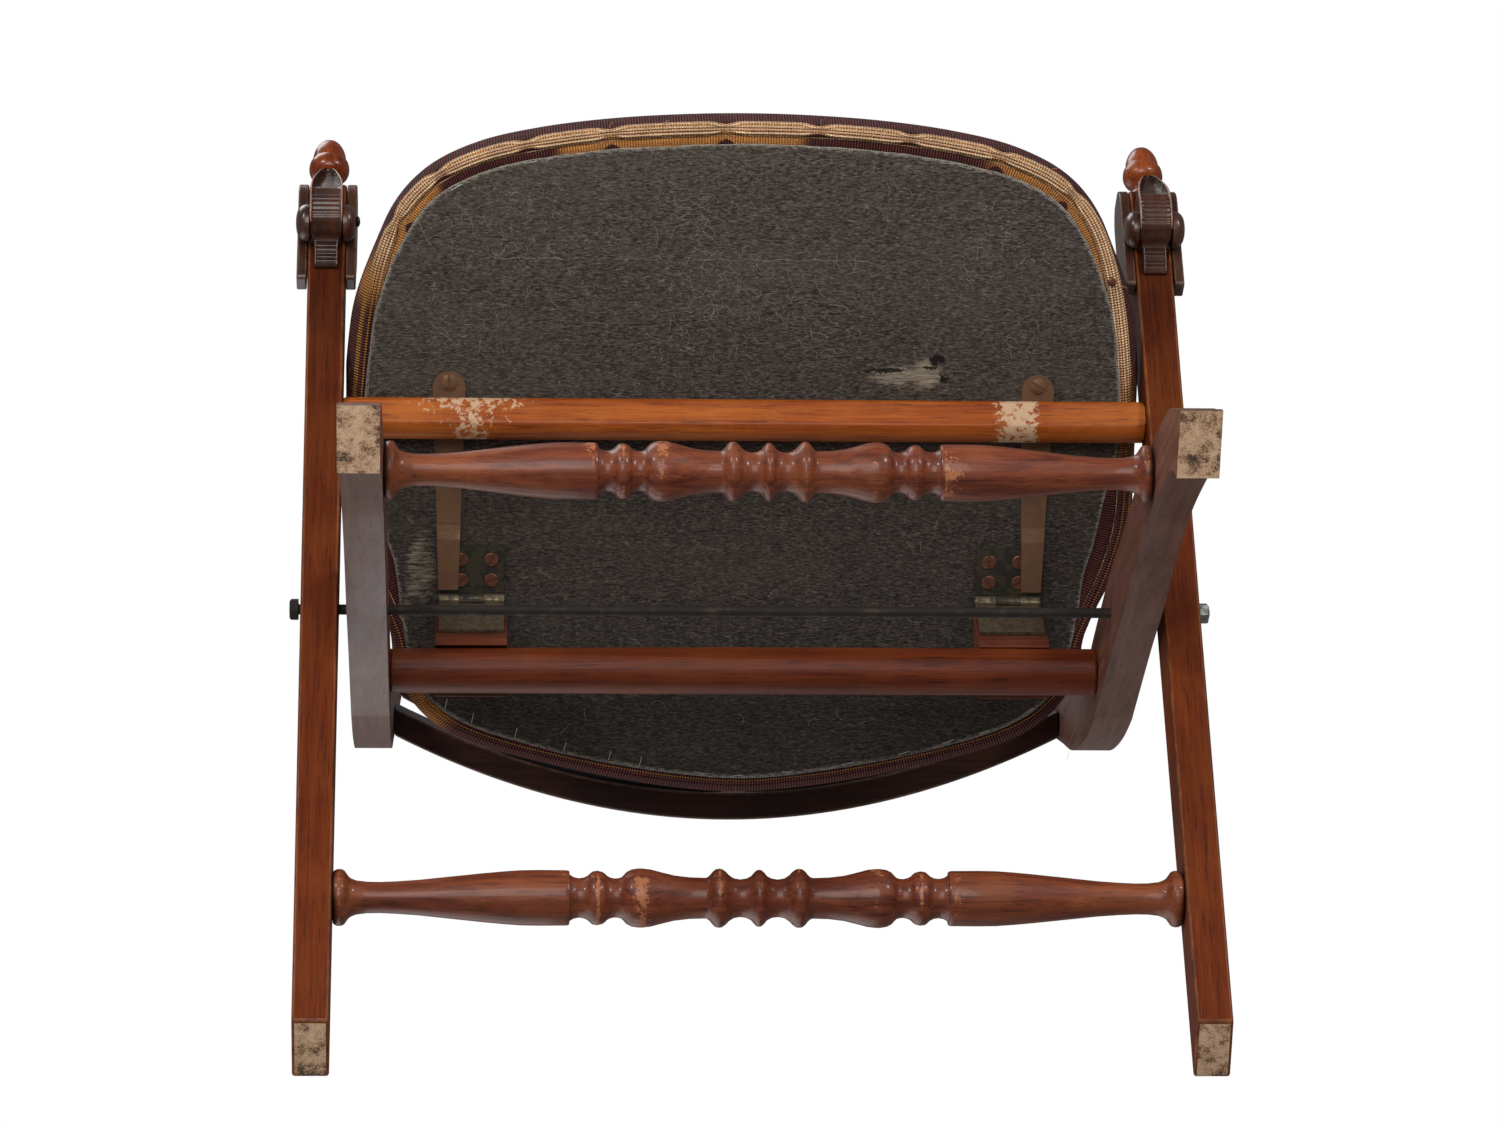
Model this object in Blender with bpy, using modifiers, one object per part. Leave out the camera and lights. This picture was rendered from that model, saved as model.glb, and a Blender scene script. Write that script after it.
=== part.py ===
"""Folding side chair with an upholstered seat, modelled in metres, +Z up.

The back frame stands still: two ogee legs that run from the front feet to the top of
the back, with a turned front stretcher, the hinge rail and two bowed back rails.
The cross frame turns on the pivot bolt: two straight legs from the rear feet to the
scrolled arm tops in front, with a turned rear stretcher and the round seat rail.
The seat turns on two butt hinges that stand on blocks on the hinge rail, and it rests
on the seat rail through two iron runners.

X runs across the chair, -Y is its front. Side sizes are measured back from the toes of
the front feet and up from the floor.
"""

import math

import bmesh
import bpy
from mathutils import Vector

# Driving sizes of the side view
PIVOT_BACK = 0.212
PIVOT_HEIGHT = 0.238
CROSS_LEAN_DEGREES = 56.7
HINGE_RAIL_SETBACK = 0.060
HINGE_RAIL_RISE = 0.055
WAIST_SETBACK = 0.072
WAIST_RISE = 0.098
BACK_TOP_HEIGHT = 0.838
BACK_RAKE_DEGREES = 20.3
REAR_STRETCHER_HEIGHT = 0.0809
SEAT_RAIL_REACH = 0.133
SEAT_PIN_ADVANCE = 0.0195
SEAT_PIN_RISE = 0.0573

# Driving sizes across the chair
BACK_INNER_HALF = 0.2038
BACK_LEG_THICKNESS = 0.022
LEG_SIDE_GAP = 0.0057
CROSS_LEG_THICKNESS = 0.022
CROSS_FOOT_THICKNESS = 0.0198
SEAT_SIDE_GAP = 0.004

# Clearances
FIT_GAP = 0.00035
BORE_GAP = 0.0004
CUT_OVERRUN = 0.002

# Edges and joints of the wooden members
WOOD_EDGE = 0.0013
TENON_RADIUS = 0.0075
TENON_LENGTH = 0.013
TENON_ROOT = 0.004
SOCKET_END_GAP = 0.0008

# Back legs
BACK_SOLE_DEPTH = 0.037
BACK_FOOT_DEPTH = 0.0325
BACK_KNEE_DEPTH = 0.0452
BACK_WAIST_DEPTH = 0.040
BACK_TIP_DEPTH = 0.028

# Cross legs
CROSS_LEG_DEPTH = 0.033
CROSS_FOOT_DEPTH = 0.0295
CROSS_FOOT_ROUND = 0.004
CROSS_LEG_REACH = 0.297
CROSS_TIP_FLAT_SHARE = 0.44

# Rails and turned stretchers
HINGE_RAIL_RADIUS = 0.0138
SEAT_RAIL_RADIUS = 0.012
STRETCHER_RADIUS = 0.0161
RAIL_END_ROUND = 0.0012

# Pivot bolt
BOLT_RADIUS = 0.0029
BOLT_HEAD_RADIUS = 0.0064
BOLT_HEAD_HEIGHT = 0.005
NUT_RADIUS = 0.0062
NUT_HEIGHT = 0.0053
BOLT_END_PROUD = 0.0006

# Back rails
BACK_RAIL_THICKNESS = 0.0168
BACK_RAIL_SETBACK = 0.0092
BACK_RAIL_BOW_DEPTH = 0.051
BACK_TENON_THICKNESS = 0.009
LOWER_RAIL_UP_SHARE = 0.16
LOWER_RAIL_WIDTH = 0.056
LOWER_RAIL_ARCH_HEIGHT = 0.010
CREST_DROP = 0.0665
CREST_WIDTH = 0.058
CREST_ARCH_HEIGHT = 0.026
CREST_BOW_DEPTH = 0.056
CREST_SETBACK = 0.0055

# Arm tops: cheeks, scrolls, buttons and finials
CHEEK_THICKNESS = 0.0058
CHEEK_LENGTH = 0.0755
CHEEK_TOE_DEPTH = 0.012
SCROLL_LENGTH = 0.071
SCROLL_DEPTH = 0.0255
SCROLL_HALF_WIDTH = 0.0096
SCROLL_SETBACK = 0.069
BUTTON_RADIUS = 0.0109
BUTTON_HEIGHT = 0.0078
BUTTON_ALONG_SHARE = 0.346
BUTTON_DROP_SHARE = 0.445
FINIAL_LENGTH = 0.0378
FINIAL_RADIUS = 0.0119
FINIAL_PEG_RADIUS = 0.004
FINIAL_PEG_LENGTH = 0.012

# Seat
SEAT_FRONT_REACH = 0.2855
SEAT_REAR_REACH = 0.117
BOARD_THICKNESS = 0.016
BOARD_INSET = 0.0055
BOARD_LIFT = 0.0053
COVER_THICKNESS = 0.0009
COVER_INSET = 0.013
COVER_LIFT = 0.0039
CUSHION_CROWN = 0.042
CUSHION_WALL = 0.034
CUSHION_SEAM_DEPTH = 0.0075
CUSHION_LIP = 0.0012

# Seat hinges, their blocks and the runners
HINGE_SIDE_INSET = 0.0468
HINGE_WIDTH = 0.038
HINGE_KNUCKLE_RADIUS = 0.0036
HINGE_PIN_RADIUS = 0.0018
HINGE_PIN_PROUD = 0.0008
LEAF_THICKNESS = 0.002
SEAT_LEAF_LENGTH = 0.032
BLOCK_LEAF_LENGTH = 0.036
MIDDLE_KNUCKLE_SHARE = 0.36
BLOCK_WIDTH = 0.0415
BLOCK_HEEL_DEPTH = 0.0033
BLOCK_HEEL_HEIGHT = 0.021
BLOCK_TOP_DROP = 0.0048
BLOCK_FACE_SETBACK = 0.0027
BLOCK_FACE_DEGREES = 5.5
RUNNER_SIDE_INSET = 0.0333
RUNNER_LENGTH = 0.131
RUNNER_WIDTH = 0.019
RUNNER_TAIL_WIDTH = 0.0115
RUNNER_THICKNESS = 0.0023
RUNNER_LIFT = 0.0013
RUNNER_STEP = 0.0023
RUNNER_STEP_START = 0.045
RUNNER_STEP_END = 0.037
RUNNER_TAIL = 0.0062

# Facet counts
TURNED_STEPS = 20
ROUND_SEGMENTS = 24
HINGE_SEGMENTS = 16
SPLINE_STEPS = 2
ARC_STEPS = 8
RAIL_STATIONS = 14
EDGE_SEGMENTS = 2

# Centre line of an ogee leg, as shares of the pivot's place below it
SHIN_SHARES = ((0.105, 0.063), (0.135, 0.140), (0.19, 0.218), (0.345, 0.404), (0.495, 0.555),
               (0.645, 0.690), (0.790, 0.808))
# Front stretcher's place on the shin, back and up, as shares of the pivot's place
FRONT_STRETCHER_SHARES = (0.342, 0.4055)
# Width along the shin, from the foot's width (0) to the knee's (1)
SHIN_WIDTH_SHARES = (0.0, 0.0, 0.02, 0.10, 0.25, 0.48, 0.74)
# Centre line from the hinge rail to the waist, and its width from knee to waist
THIGH_SHARES = ((0.20, 0.135), (0.60, 0.50))
THIGH_WIDTH_SHARES = (0.15, 0.65)
# Stations up the back, and the width from waist to tip
UPRIGHT_SHARES = (0.12, 0.26, 0.55, 0.80)
UPRIGHT_WIDTH_SHARES = (0.10, 0.24, 0.54, 0.80)
# Turned pattern from the middle out: shares of the half length and of the radius
TURNING_SHARES = (
    (0.0, 0.965), (0.010, 0.90), (0.020, 0.74), (0.045, 0.635), (0.068, 0.74), (0.085, 0.96),
    (0.100, 1.0), (0.111, 0.86), (0.122, 0.70), (0.165, 0.705), (0.210, 0.79), (0.257, 0.97),
    (0.282, 1.0), (0.302, 0.955), (0.320, 0.75), (0.338, 0.66), (0.358, 0.74), (0.370, 0.88),
    (0.388, 0.92), (0.402, 0.78), (0.424, 0.665), (0.445, 0.77), (0.447, 0.915),
    (0.52, 0.94), (0.60, 0.89), (0.70, 0.75), (0.80, 0.60), (0.89, 0.525), (0.945, 0.58),
    (0.964, 0.71), (0.975, 0.92), (0.990, 0.955), (1.0, 0.88))
# Finial from its tip down: shares of its radius and of its length
FINIAL_SHARES = (
    (0.0, 1.0), (0.26, 0.985), (0.54, 0.91), (0.74, 0.78), (0.825, 0.64), (0.835, 0.585),
    (0.95, 0.55), (1.0, 0.44), (0.93, 0.34), (0.60, 0.27), (0.535, 0.20), (0.58, 0.12),
    (0.745, 0.06), (0.745, 0.0))
# Scroll under an arm top: along it, depth below the leg and half width
SCROLL_SHARES = (
    (0.0, 0.06, 0.97), (0.05, 0.16, 0.97), (0.07, 0.11, 0.97), (0.115, 0.23, 0.98),
    (0.14, 0.18, 0.98), (0.185, 0.34, 0.99), (0.215, 0.31, 0.99), (0.25, 0.60, 1.0),
    (0.275, 0.79, 1.0), (0.33, 0.92, 1.0), (0.36, 0.885, 1.0), (0.43, 1.0, 1.0),
    (0.46, 0.96, 1.0), (0.54, 0.985, 1.0), (0.62, 0.88, 0.99), (0.70, 0.74, 0.93),
    (0.78, 0.60, 0.81), (0.86, 0.46, 0.63), (0.93, 0.33, 0.42), (0.98, 0.22, 0.22),
    (1.0, 0.15, 0.08))
SCROLL_SECTION_SHARES = ((-1.0, 0.0), (-1.0, 0.66), (-0.86, 0.9), (-0.5, 1.0), (0.5, 1.0),
                         (0.86, 0.9), (1.0, 0.66), (1.0, 0.0))
# Button from its crown down: shares of its radius and of its height
BUTTON_SHARES = ((0.0, 1.0), (0.38, 0.97), (0.70, 0.84), (0.90, 0.60), (1.0, 0.28), (1.0, 0.0))
# Seat outline from the front round to the rear: along the reach, and half width
SEAT_FRONT_SHARES = (
    (1.0, 0.0), (0.9965, 0.175), (0.9865, 0.35), (0.968, 0.52), (0.938, 0.676), (0.887, 0.803),
    (0.812, 0.888), (0.71, 0.940), (0.585, 0.970), (0.455, 0.987), (0.315, 1.0),
    (0.175, 0.998), (0.07, 0.968), (0.0, 0.935))
SEAT_REAR_SHARES = (
    (0.13, 0.907), (0.23, 0.889), (0.385, 0.873), (0.513, 0.841), (0.65, 0.770),
    (0.752, 0.665), (0.846, 0.50), (0.923, 0.325), (0.974, 0.165), (1.0, 0.0))
# Crown of the cushion: shrink towards the middle, and height above the wall's top
CROWN_SHARES = ((0.045, 0.20), (0.12, 0.45), (0.25, 0.70), (0.42, 0.87), (0.62, 0.965),
                (0.84, 1.0))
# Wall of the cushion: height share and draw-in as a share of the seam's depth
WALL_SHARES = ((0.0, 0.35), (0.10, 0.04), (0.42, 0.0), (0.70, 0.20), (0.88, 0.56), (0.955, 1.0))
# Back rails: lift of the top edge from the ends to the middle
LOWER_TOP_SHARES = (0.0, 1.0)
CREST_TOP_SHARES = (0.0, 0.10, 0.06, 0.22, 0.52, 0.80, 0.95, 1.0)

# Materials: sRGB colour, roughness and metallic value
WALNUT = ("walnut", "6E3A20", 0.34, 0.0)
DARK_WALNUT = ("dark_walnut", "5A3424", 0.38, 0.0)
RAIL_WOOD = ("rail_walnut", "8C4A20", 0.42, 0.0)
BOLT_IRON = ("bolt_iron", "2E2B29", 0.55, 1.0)
NUT_ZINC = ("nut_zinc", "8F938C", 0.5, 1.0)
HINGE_STEEL = ("hinge_steel", "7A7162", 0.42, 1.0)
RUNNER_IRON = ("runner_iron", "5B4A3D", 0.55, 1.0)
BOARD_WOOD = ("board_wood", "B08A5E", 0.7, 0.0)
COVER_CLOTH = ("cover_cloth", "3A3735", 0.95, 0.0)
SEAT_FABRIC = ("seat_fabric", "4A2A26", 0.92, 0.0)

# Places and sizes worked out from the values above
SIDE_ON = (math.radians(90), 0.0, math.radians(90))
ALONG_X = (0.0, math.radians(90), 0.0)
LEAN = math.radians(CROSS_LEAN_DEGREES)
RAKE = math.radians(BACK_RAKE_DEGREES)
BACK_OUTER_HALF = BACK_INNER_HALF + BACK_LEG_THICKNESS
CROSS_INNER_HALF = BACK_OUTER_HALF + LEG_SIDE_GAP
CROSS_OUTER_HALF = CROSS_INNER_HALF + CROSS_LEG_THICKNESS
SEAT_HALF_WIDTH = CROSS_INNER_HALF - SEAT_SIDE_GAP
HINGE_MIDDLE = BACK_INNER_HALF - HINGE_SIDE_INSET
RUNNER_MIDDLE = BACK_INNER_HALF - RUNNER_SIDE_INSET
PIVOT = Vector((0.0, PIVOT_BACK, PIVOT_HEIGHT))
HINGE_RAIL = PIVOT + Vector((0.0, HINGE_RAIL_SETBACK, HINGE_RAIL_RISE))
WAIST = HINGE_RAIL + Vector((0.0, WAIST_SETBACK, WAIST_RISE))
FRONT_STRETCHER = Vector((0.0, PIVOT_BACK * FRONT_STRETCHER_SHARES[0],
                          PIVOT_HEIGHT * FRONT_STRETCHER_SHARES[1]))
REAR_STRETCHER_DROP = (PIVOT_HEIGHT - REAR_STRETCHER_HEIGHT) / math.sin(LEAN)
UP_THE_BACK = Vector((0.0, math.sin(RAKE), math.cos(RAKE)))
BEHIND_THE_BACK = Vector((0.0, math.cos(RAKE), -math.sin(RAKE)))
UP_THE_CROSS = Vector((0.0, -math.cos(LEAN), math.sin(LEAN)))
BACK_LENGTH = (BACK_TOP_HEIGHT - WAIST.z) / math.cos(RAKE)
LOWER_RAIL_FOOT = (WAIST + UP_THE_BACK * (BACK_LENGTH * LOWER_RAIL_UP_SHARE)
                   + BEHIND_THE_BACK * BACK_RAIL_SETBACK)
CREST_FOOT = (WAIST + UP_THE_BACK * (BACK_LENGTH - CREST_DROP)
              + BEHIND_THE_BACK * CREST_SETBACK)
SEAT_RAIL = PIVOT + UP_THE_CROSS * SEAT_RAIL_REACH
SEAT_PIN = HINGE_RAIL + Vector((0.0, -SEAT_PIN_ADVANCE, SEAT_PIN_RISE))
SEAT_RAIL_DEPTH = SEAT_RAIL_RADIUS + FIT_GAP - RUNNER_LIFT
SEAT_SPAN = SEAT_PIN - SEAT_RAIL
TILT = math.asin(SEAT_RAIL_DEPTH / SEAT_SPAN.length) - math.atan2(SEAT_SPAN.z, SEAT_SPAN.y)
SOCKET_RADIUS = TENON_RADIUS + FIT_GAP
SOCKET_DEPTH = TENON_LENGTH + SOCKET_END_GAP
BORE_RADIUS = BOLT_RADIUS + BORE_GAP
SCROLL_START = CROSS_LEG_REACH - SCROLL_SETBACK
BUTTON_ALONG = SCROLL_START + SCROLL_LENGTH * BUTTON_ALONG_SHARE
BUTTON_DROP = CROSS_LEG_DEPTH / 2 + FIT_GAP + SCROLL_DEPTH * BUTTON_DROP_SHARE


def clear_scene():
    """Remove every object that the file opens with."""
    for existing in list(bpy.data.objects):
        bpy.data.objects.remove(existing, do_unlink=True)


def new_collection(name):
    """Return a new collection linked to the scene."""
    collection = bpy.data.collections.new(name)
    bpy.context.scene.collection.children.link(collection)
    return collection


def linear(channel):
    """Turn one sRGB channel into its linear value."""
    if channel <= 0.04045:
        return channel / 12.92
    return ((channel + 0.055) / 1.055) ** 2.4


def finish_material(finish):
    """Return the Principled material of a (name, hex, roughness, metallic) finish."""
    name, colour, roughness, metallic = finish
    material = bpy.data.materials.get(name)
    if material is None:
        material = bpy.data.materials.new(name)
        material.use_nodes = True
        shader = material.node_tree.nodes["Principled BSDF"]
        channels = [linear(int(colour[i:i + 2], 16) / 255) for i in (0, 2, 4)]
        shader.inputs["Base Color"].default_value = (*channels, 1.0)
        shader.inputs["Roughness"].default_value = roughness
        shader.inputs["Metallic"].default_value = metallic
    return material


def place(thing, parent, location, rotation):
    """Set an object under its parent, at a location and a rotation there."""
    thing.parent = parent
    thing.location = location
    thing.rotation_euler = rotation


def add_empty(name, parent, location, rotation):
    """Add an empty that carries a frame or marks a joint axis."""
    empty = bpy.data.objects.new(name, None)
    CHAIR.objects.link(empty)
    place(empty, parent, location, rotation)
    return empty


def add_mesh(name, mesh, finish, parent, location=(0, 0, 0), rotation=(0, 0, 0)):
    """Add one sub-part from a mesh, smooth between its sharp edges."""
    mesh.materials.clear()
    mesh.materials.append(finish_material(finish))
    mesh.shade_smooth()
    mesh.set_sharp_from_angle(angle=math.radians(32))
    part = bpy.data.objects.new(name, mesh)
    CHAIR.objects.link(part)
    place(part, parent, location, rotation)
    return part


def add_cutter(name, mesh, parent, location=(0, 0, 0), rotation=(0, 0, 0)):
    """Add a guide object that a Boolean uses and that is no part of the chair."""
    cutter = bpy.data.objects.new(name, mesh)
    GUIDES.objects.link(cutter)
    place(cutter, parent, location, rotation)
    cutter.hide_render = True
    cutter.display_type = "WIRE"
    return cutter


def cut(part, cutter, operation="DIFFERENCE"):
    """Cut a part with a guide, or join the guide to it."""
    boolean = part.modifiers.new(cutter.name, "BOOLEAN")
    boolean.object = cutter
    boolean.operation = operation
    boolean.solver = "EXACT"


def round_edges(part, width):
    """Round the sharp edges of a part."""
    bevel = part.modifiers.new("edges", "BEVEL")
    bevel.width = width
    bevel.segments = EDGE_SEGMENTS
    bevel.limit_method = "ANGLE"
    bevel.angle_limit = math.radians(50)


def cylinder_mesh(name, radius, length, segments=ROUND_SEGMENTS):
    """Return a capped cylinder along Z, centred."""
    mesh = bpy.data.meshes.new(name)
    shape = bmesh.new()
    bmesh.ops.create_cone(shape, cap_ends=True, segments=segments, radius1=radius,
                          radius2=radius, depth=length)
    shape.to_mesh(mesh)
    shape.free()
    return mesh


def box_mesh(name, size):
    """Return a box of a size (x, y, z), centred."""
    mesh = bpy.data.meshes.new(name)
    shape = bmesh.new()
    bmesh.ops.create_cube(shape, size=1)
    bmesh.ops.scale(shape, vec=size, verts=shape.verts)
    shape.to_mesh(mesh)
    shape.free()
    return mesh


def plank_mesh(name, outline, thickness):
    """Return the closed mesh of a flat outline, extruded evenly to its thickness."""
    curve = bpy.data.curves.new(name, "CURVE")
    curve.dimensions = "2D"
    curve.fill_mode = "BOTH"
    curve.extrude = thickness / 2
    spline = curve.splines.new("POLY")
    spline.points.add(len(outline) - 1)
    for point, place_2d in zip(spline.points, outline):
        point.co = (place_2d[0], place_2d[1], 0.0, 1.0)
    spline.use_cyclic_u = True
    holder = bpy.data.objects.new(name, curve)
    GUIDES.objects.link(holder)
    bpy.context.view_layer.update()
    evaluated = holder.evaluated_get(bpy.context.evaluated_depsgraph_get())
    mesh = bpy.data.meshes.new_from_object(evaluated)
    bpy.data.objects.remove(holder, do_unlink=True)
    weld(mesh)
    return mesh


def weld(mesh):
    """Weld the seams of a mesh and face its sides out."""
    shape = bmesh.new()
    shape.from_mesh(mesh)
    bmesh.ops.remove_doubles(shape, verts=shape.verts, dist=0.00001)
    bmesh.ops.recalc_face_normals(shape, faces=shape.faces)
    shape.to_mesh(mesh)
    shape.free()


def loft_mesh(name, rings):
    """Return a closed mesh through rings of as many points each, with both ends capped."""
    mesh = bpy.data.meshes.new(name)
    shape = bmesh.new()
    rows = [[shape.verts.new(point) for point in ring] for ring in rings]
    for row, following in zip(rows, rows[1:]):
        for i, vertex in enumerate(row):
            j = (i + 1) % len(row)
            shape.faces.new((vertex, row[j], following[j], following[i]))
    shape.faces.new(list(reversed(rows[0])))
    shape.faces.new(rows[-1])
    bmesh.ops.recalc_face_normals(shape, faces=shape.faces)
    shape.to_mesh(mesh)
    shape.free()
    return mesh


def turned_mesh(name, profile):
    """Return the profile line of a turned piece: (radius, height) pairs, top to bottom."""
    mesh = bpy.data.meshes.new(name)
    points = [(radius, 0.0, height) for radius, height in profile]
    edges = [(i, i + 1) for i in range(len(points) - 1)]
    mesh.from_pydata(points, edges, [])
    return mesh


def add_turned(name, profile, finish, parent, location, rotation=(0, 0, 0)):
    """Add a turned sub-part, its profile spun about its own Z axis."""
    part = add_mesh(name, turned_mesh(name, profile), finish, parent, location, rotation)
    screw = part.modifiers.new("turning", "SCREW")
    screw.steps = TURNED_STEPS
    screw.render_steps = TURNED_STEPS
    screw.use_merge_vertices = True
    screw.merge_threshold = 0.0001
    screw.use_smooth_shade = True
    return part


def spline_points(stations, steps=SPLINE_STEPS):
    """Return points of a smooth curve through stations of any dimension."""
    count = len(stations)
    points = []
    for i in range(count - 1):
        before = stations[max(i - 1, 0)]
        start = stations[i]
        end = stations[i + 1]
        after = stations[min(i + 2, count - 1)]
        for step in range(steps):
            t = step / steps
            points.append(tuple(
                0.5 * (2 * b + (c - a) * t + (2 * a - 5 * b + 4 * c - d) * t ** 2
                       + (3 * b - a - 3 * c + d) * t ** 3)
                for a, b, c, d in zip(before, start, end, after)))
    points.append(tuple(stations[-1]))
    return points


def mix(start, end, share):
    """Return the value a share of the way from start to end."""
    return start + (end - start) * share


def back_leg_line():
    """Return (back, height, width) along the centre line of an ogee leg."""
    stations = [(BACK_SOLE_DEPTH / 2, 0.0, BACK_SOLE_DEPTH)]
    for (back, up), width in zip(SHIN_SHARES, SHIN_WIDTH_SHARES):
        stations.append((PIVOT_BACK * back, PIVOT_HEIGHT * up,
                         mix(BACK_FOOT_DEPTH, BACK_KNEE_DEPTH, width)))
    stations.append((PIVOT_BACK, PIVOT_HEIGHT, BACK_KNEE_DEPTH))
    stations.append((HINGE_RAIL.y, HINGE_RAIL.z, BACK_KNEE_DEPTH))
    for (back, up), width in zip(THIGH_SHARES, THIGH_WIDTH_SHARES):
        stations.append((mix(HINGE_RAIL.y, WAIST.y, back), mix(HINGE_RAIL.z, WAIST.z, up),
                         mix(BACK_KNEE_DEPTH, BACK_WAIST_DEPTH, width)))
    stations.append((WAIST.y, WAIST.z, BACK_WAIST_DEPTH))
    for share, width in zip(UPRIGHT_SHARES, UPRIGHT_WIDTH_SHARES):
        point = WAIST + UP_THE_BACK * (BACK_LENGTH * share)
        stations.append((point.y, point.z, mix(BACK_WAIST_DEPTH, BACK_TIP_DEPTH, width)))
    tip = WAIST + UP_THE_BACK * (BACK_LENGTH - BACK_TIP_DEPTH / 2)
    stations.append((tip.y, tip.z, BACK_TIP_DEPTH))
    return spline_points(stations)


def back_leg_outline():
    """Return the closed side outline of an ogee leg, rounded over at the top."""
    line = back_leg_line()
    rear = []
    front = []
    for i, (back, up, width) in enumerate(line):
        ahead = line[min(i + 1, len(line) - 1)]
        behind = line[max(i - 1, 0)]
        along = Vector((ahead[0] - behind[0], ahead[1] - behind[1])).normalized()
        if i == 0:
            along = Vector((0.0, 1.0))
        across = Vector((along.y, -along.x)) * (width / 2)
        if i == 0 or up + across.y > 0:
            rear.append((back + across.x, up + across.y))
        front.append((back - across.x, up - across.y))
    back, up, width = line[-1]
    tip = []
    for step in range(1, ARC_STEPS):
        turn = math.pi * step / ARC_STEPS - RAKE
        tip.append((back + math.cos(turn) * width / 2, up + math.sin(turn) * width / 2))
    return rear + tip + front[::-1]


def cross_sole(across):
    """Return how far along a cross leg the floor cuts it, at a place across it."""
    return -(PIVOT_HEIGHT + across * math.cos(LEAN)) / math.sin(LEAN)


def rounded_end(depth, reach, flat_share):
    """Return points round the end of a leg or cheek, from its under side to its top."""
    half = depth / 2
    centre = reach - half * math.sqrt(1 - flat_share ** 2)
    start = math.asin(flat_share)
    under = []
    for step in range(ARC_STEPS + 1):
        turn = mix(math.pi / 2, start, step / ARC_STEPS)
        under.append((-half * math.sin(turn), centre + half * math.cos(turn)))
    return under + [(-x, y) for x, y in reversed(under)]


def cross_leg_mesh(side):
    """Return a straight cross leg, slimmer at its foot, with its inner face flat."""
    half = CROSS_LEG_DEPTH / 2
    heel = CROSS_FOOT_DEPTH - half
    toe = heel - CROSS_FOOT_ROUND * math.sin(LEAN)
    outline = [(heel, cross_sole(heel) + CROSS_FOOT_ROUND), (toe, cross_sole(toe)),
               (-half, cross_sole(-half))]
    outline += rounded_end(CROSS_LEG_DEPTH, CROSS_LEG_REACH, CROSS_TIP_FLAT_SHARE)
    outline.append((half, SEAT_RAIL_REACH))
    mesh = plank_mesh("cross_leg", outline, CROSS_LEG_THICKNESS)
    foot = cross_sole(half)
    for vertex in mesh.vertices:
        if vertex.co.z * side > 0:
            share = (CROSS_LEG_REACH - vertex.co.y) / (CROSS_LEG_REACH - foot)
            vertex.co.z -= side * (CROSS_LEG_THICKNESS - CROSS_FOOT_THICKNESS) * share
    return mesh


def cheek_outline():
    """Return the side outline of the cheek on an arm top."""
    half = CROSS_LEG_DEPTH / 2
    start = CROSS_LEG_REACH - CHEEK_LENGTH
    heel = spline_points([
        (half, mix(start, CROSS_LEG_REACH, 0.62)),
        (mix(-half, half, 0.90), mix(start, CROSS_LEG_REACH, 0.40)),
        (mix(-half, half, 0.60), mix(start, CROSS_LEG_REACH, 0.20)),
        (CHEEK_TOE_DEPTH - half, start)])
    toe = [(WOOD_EDGE - half, start), (-half, start + WOOD_EDGE)]
    return rounded_end(CROSS_LEG_DEPTH, CROSS_LEG_REACH, CROSS_TIP_FLAT_SHARE) + heel + toe


def scroll_mesh():
    """Return the carved scroll that hangs under an arm top."""
    under = -CROSS_LEG_DEPTH / 2 - FIT_GAP
    rings = []
    for along, depth, width in SCROLL_SHARES:
        ring = []
        for across, down in SCROLL_SECTION_SHARES:
            ring.append((across * width * SCROLL_HALF_WIDTH,
                         under - down * depth * SCROLL_DEPTH,
                         SCROLL_START + along * SCROLL_LENGTH))
        rings.append(ring)
    return loft_mesh("scroll", rings)


def rail_profile(radius, half_length, tenon_length):
    """Return the profile of a round rail with a tenon at each end."""
    half = [(0.0, half_length + tenon_length),
            (TENON_RADIUS - RAIL_END_ROUND, half_length + tenon_length),
            (TENON_RADIUS, half_length + tenon_length - RAIL_END_ROUND),
            (TENON_RADIUS, half_length),
            (radius - RAIL_END_ROUND, half_length),
            (radius, half_length - RAIL_END_ROUND)]
    return half + [(r, -height) for r, height in reversed(half)]


def stretcher_profile(half_length):
    """Return the profile of a turned stretcher with a tenon at each end."""
    half = [(0.0, half_length + TENON_LENGTH),
            (TENON_RADIUS - RAIL_END_ROUND, half_length + TENON_LENGTH),
            (TENON_RADIUS, half_length + TENON_LENGTH - RAIL_END_ROUND),
            (TENON_RADIUS, half_length)]
    for along, radius in reversed(TURNING_SHARES):
        half.append((radius * STRETCHER_RADIUS, along * half_length))
    return half + [(r, -height) for r, height in reversed(half[:-1])]


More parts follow.
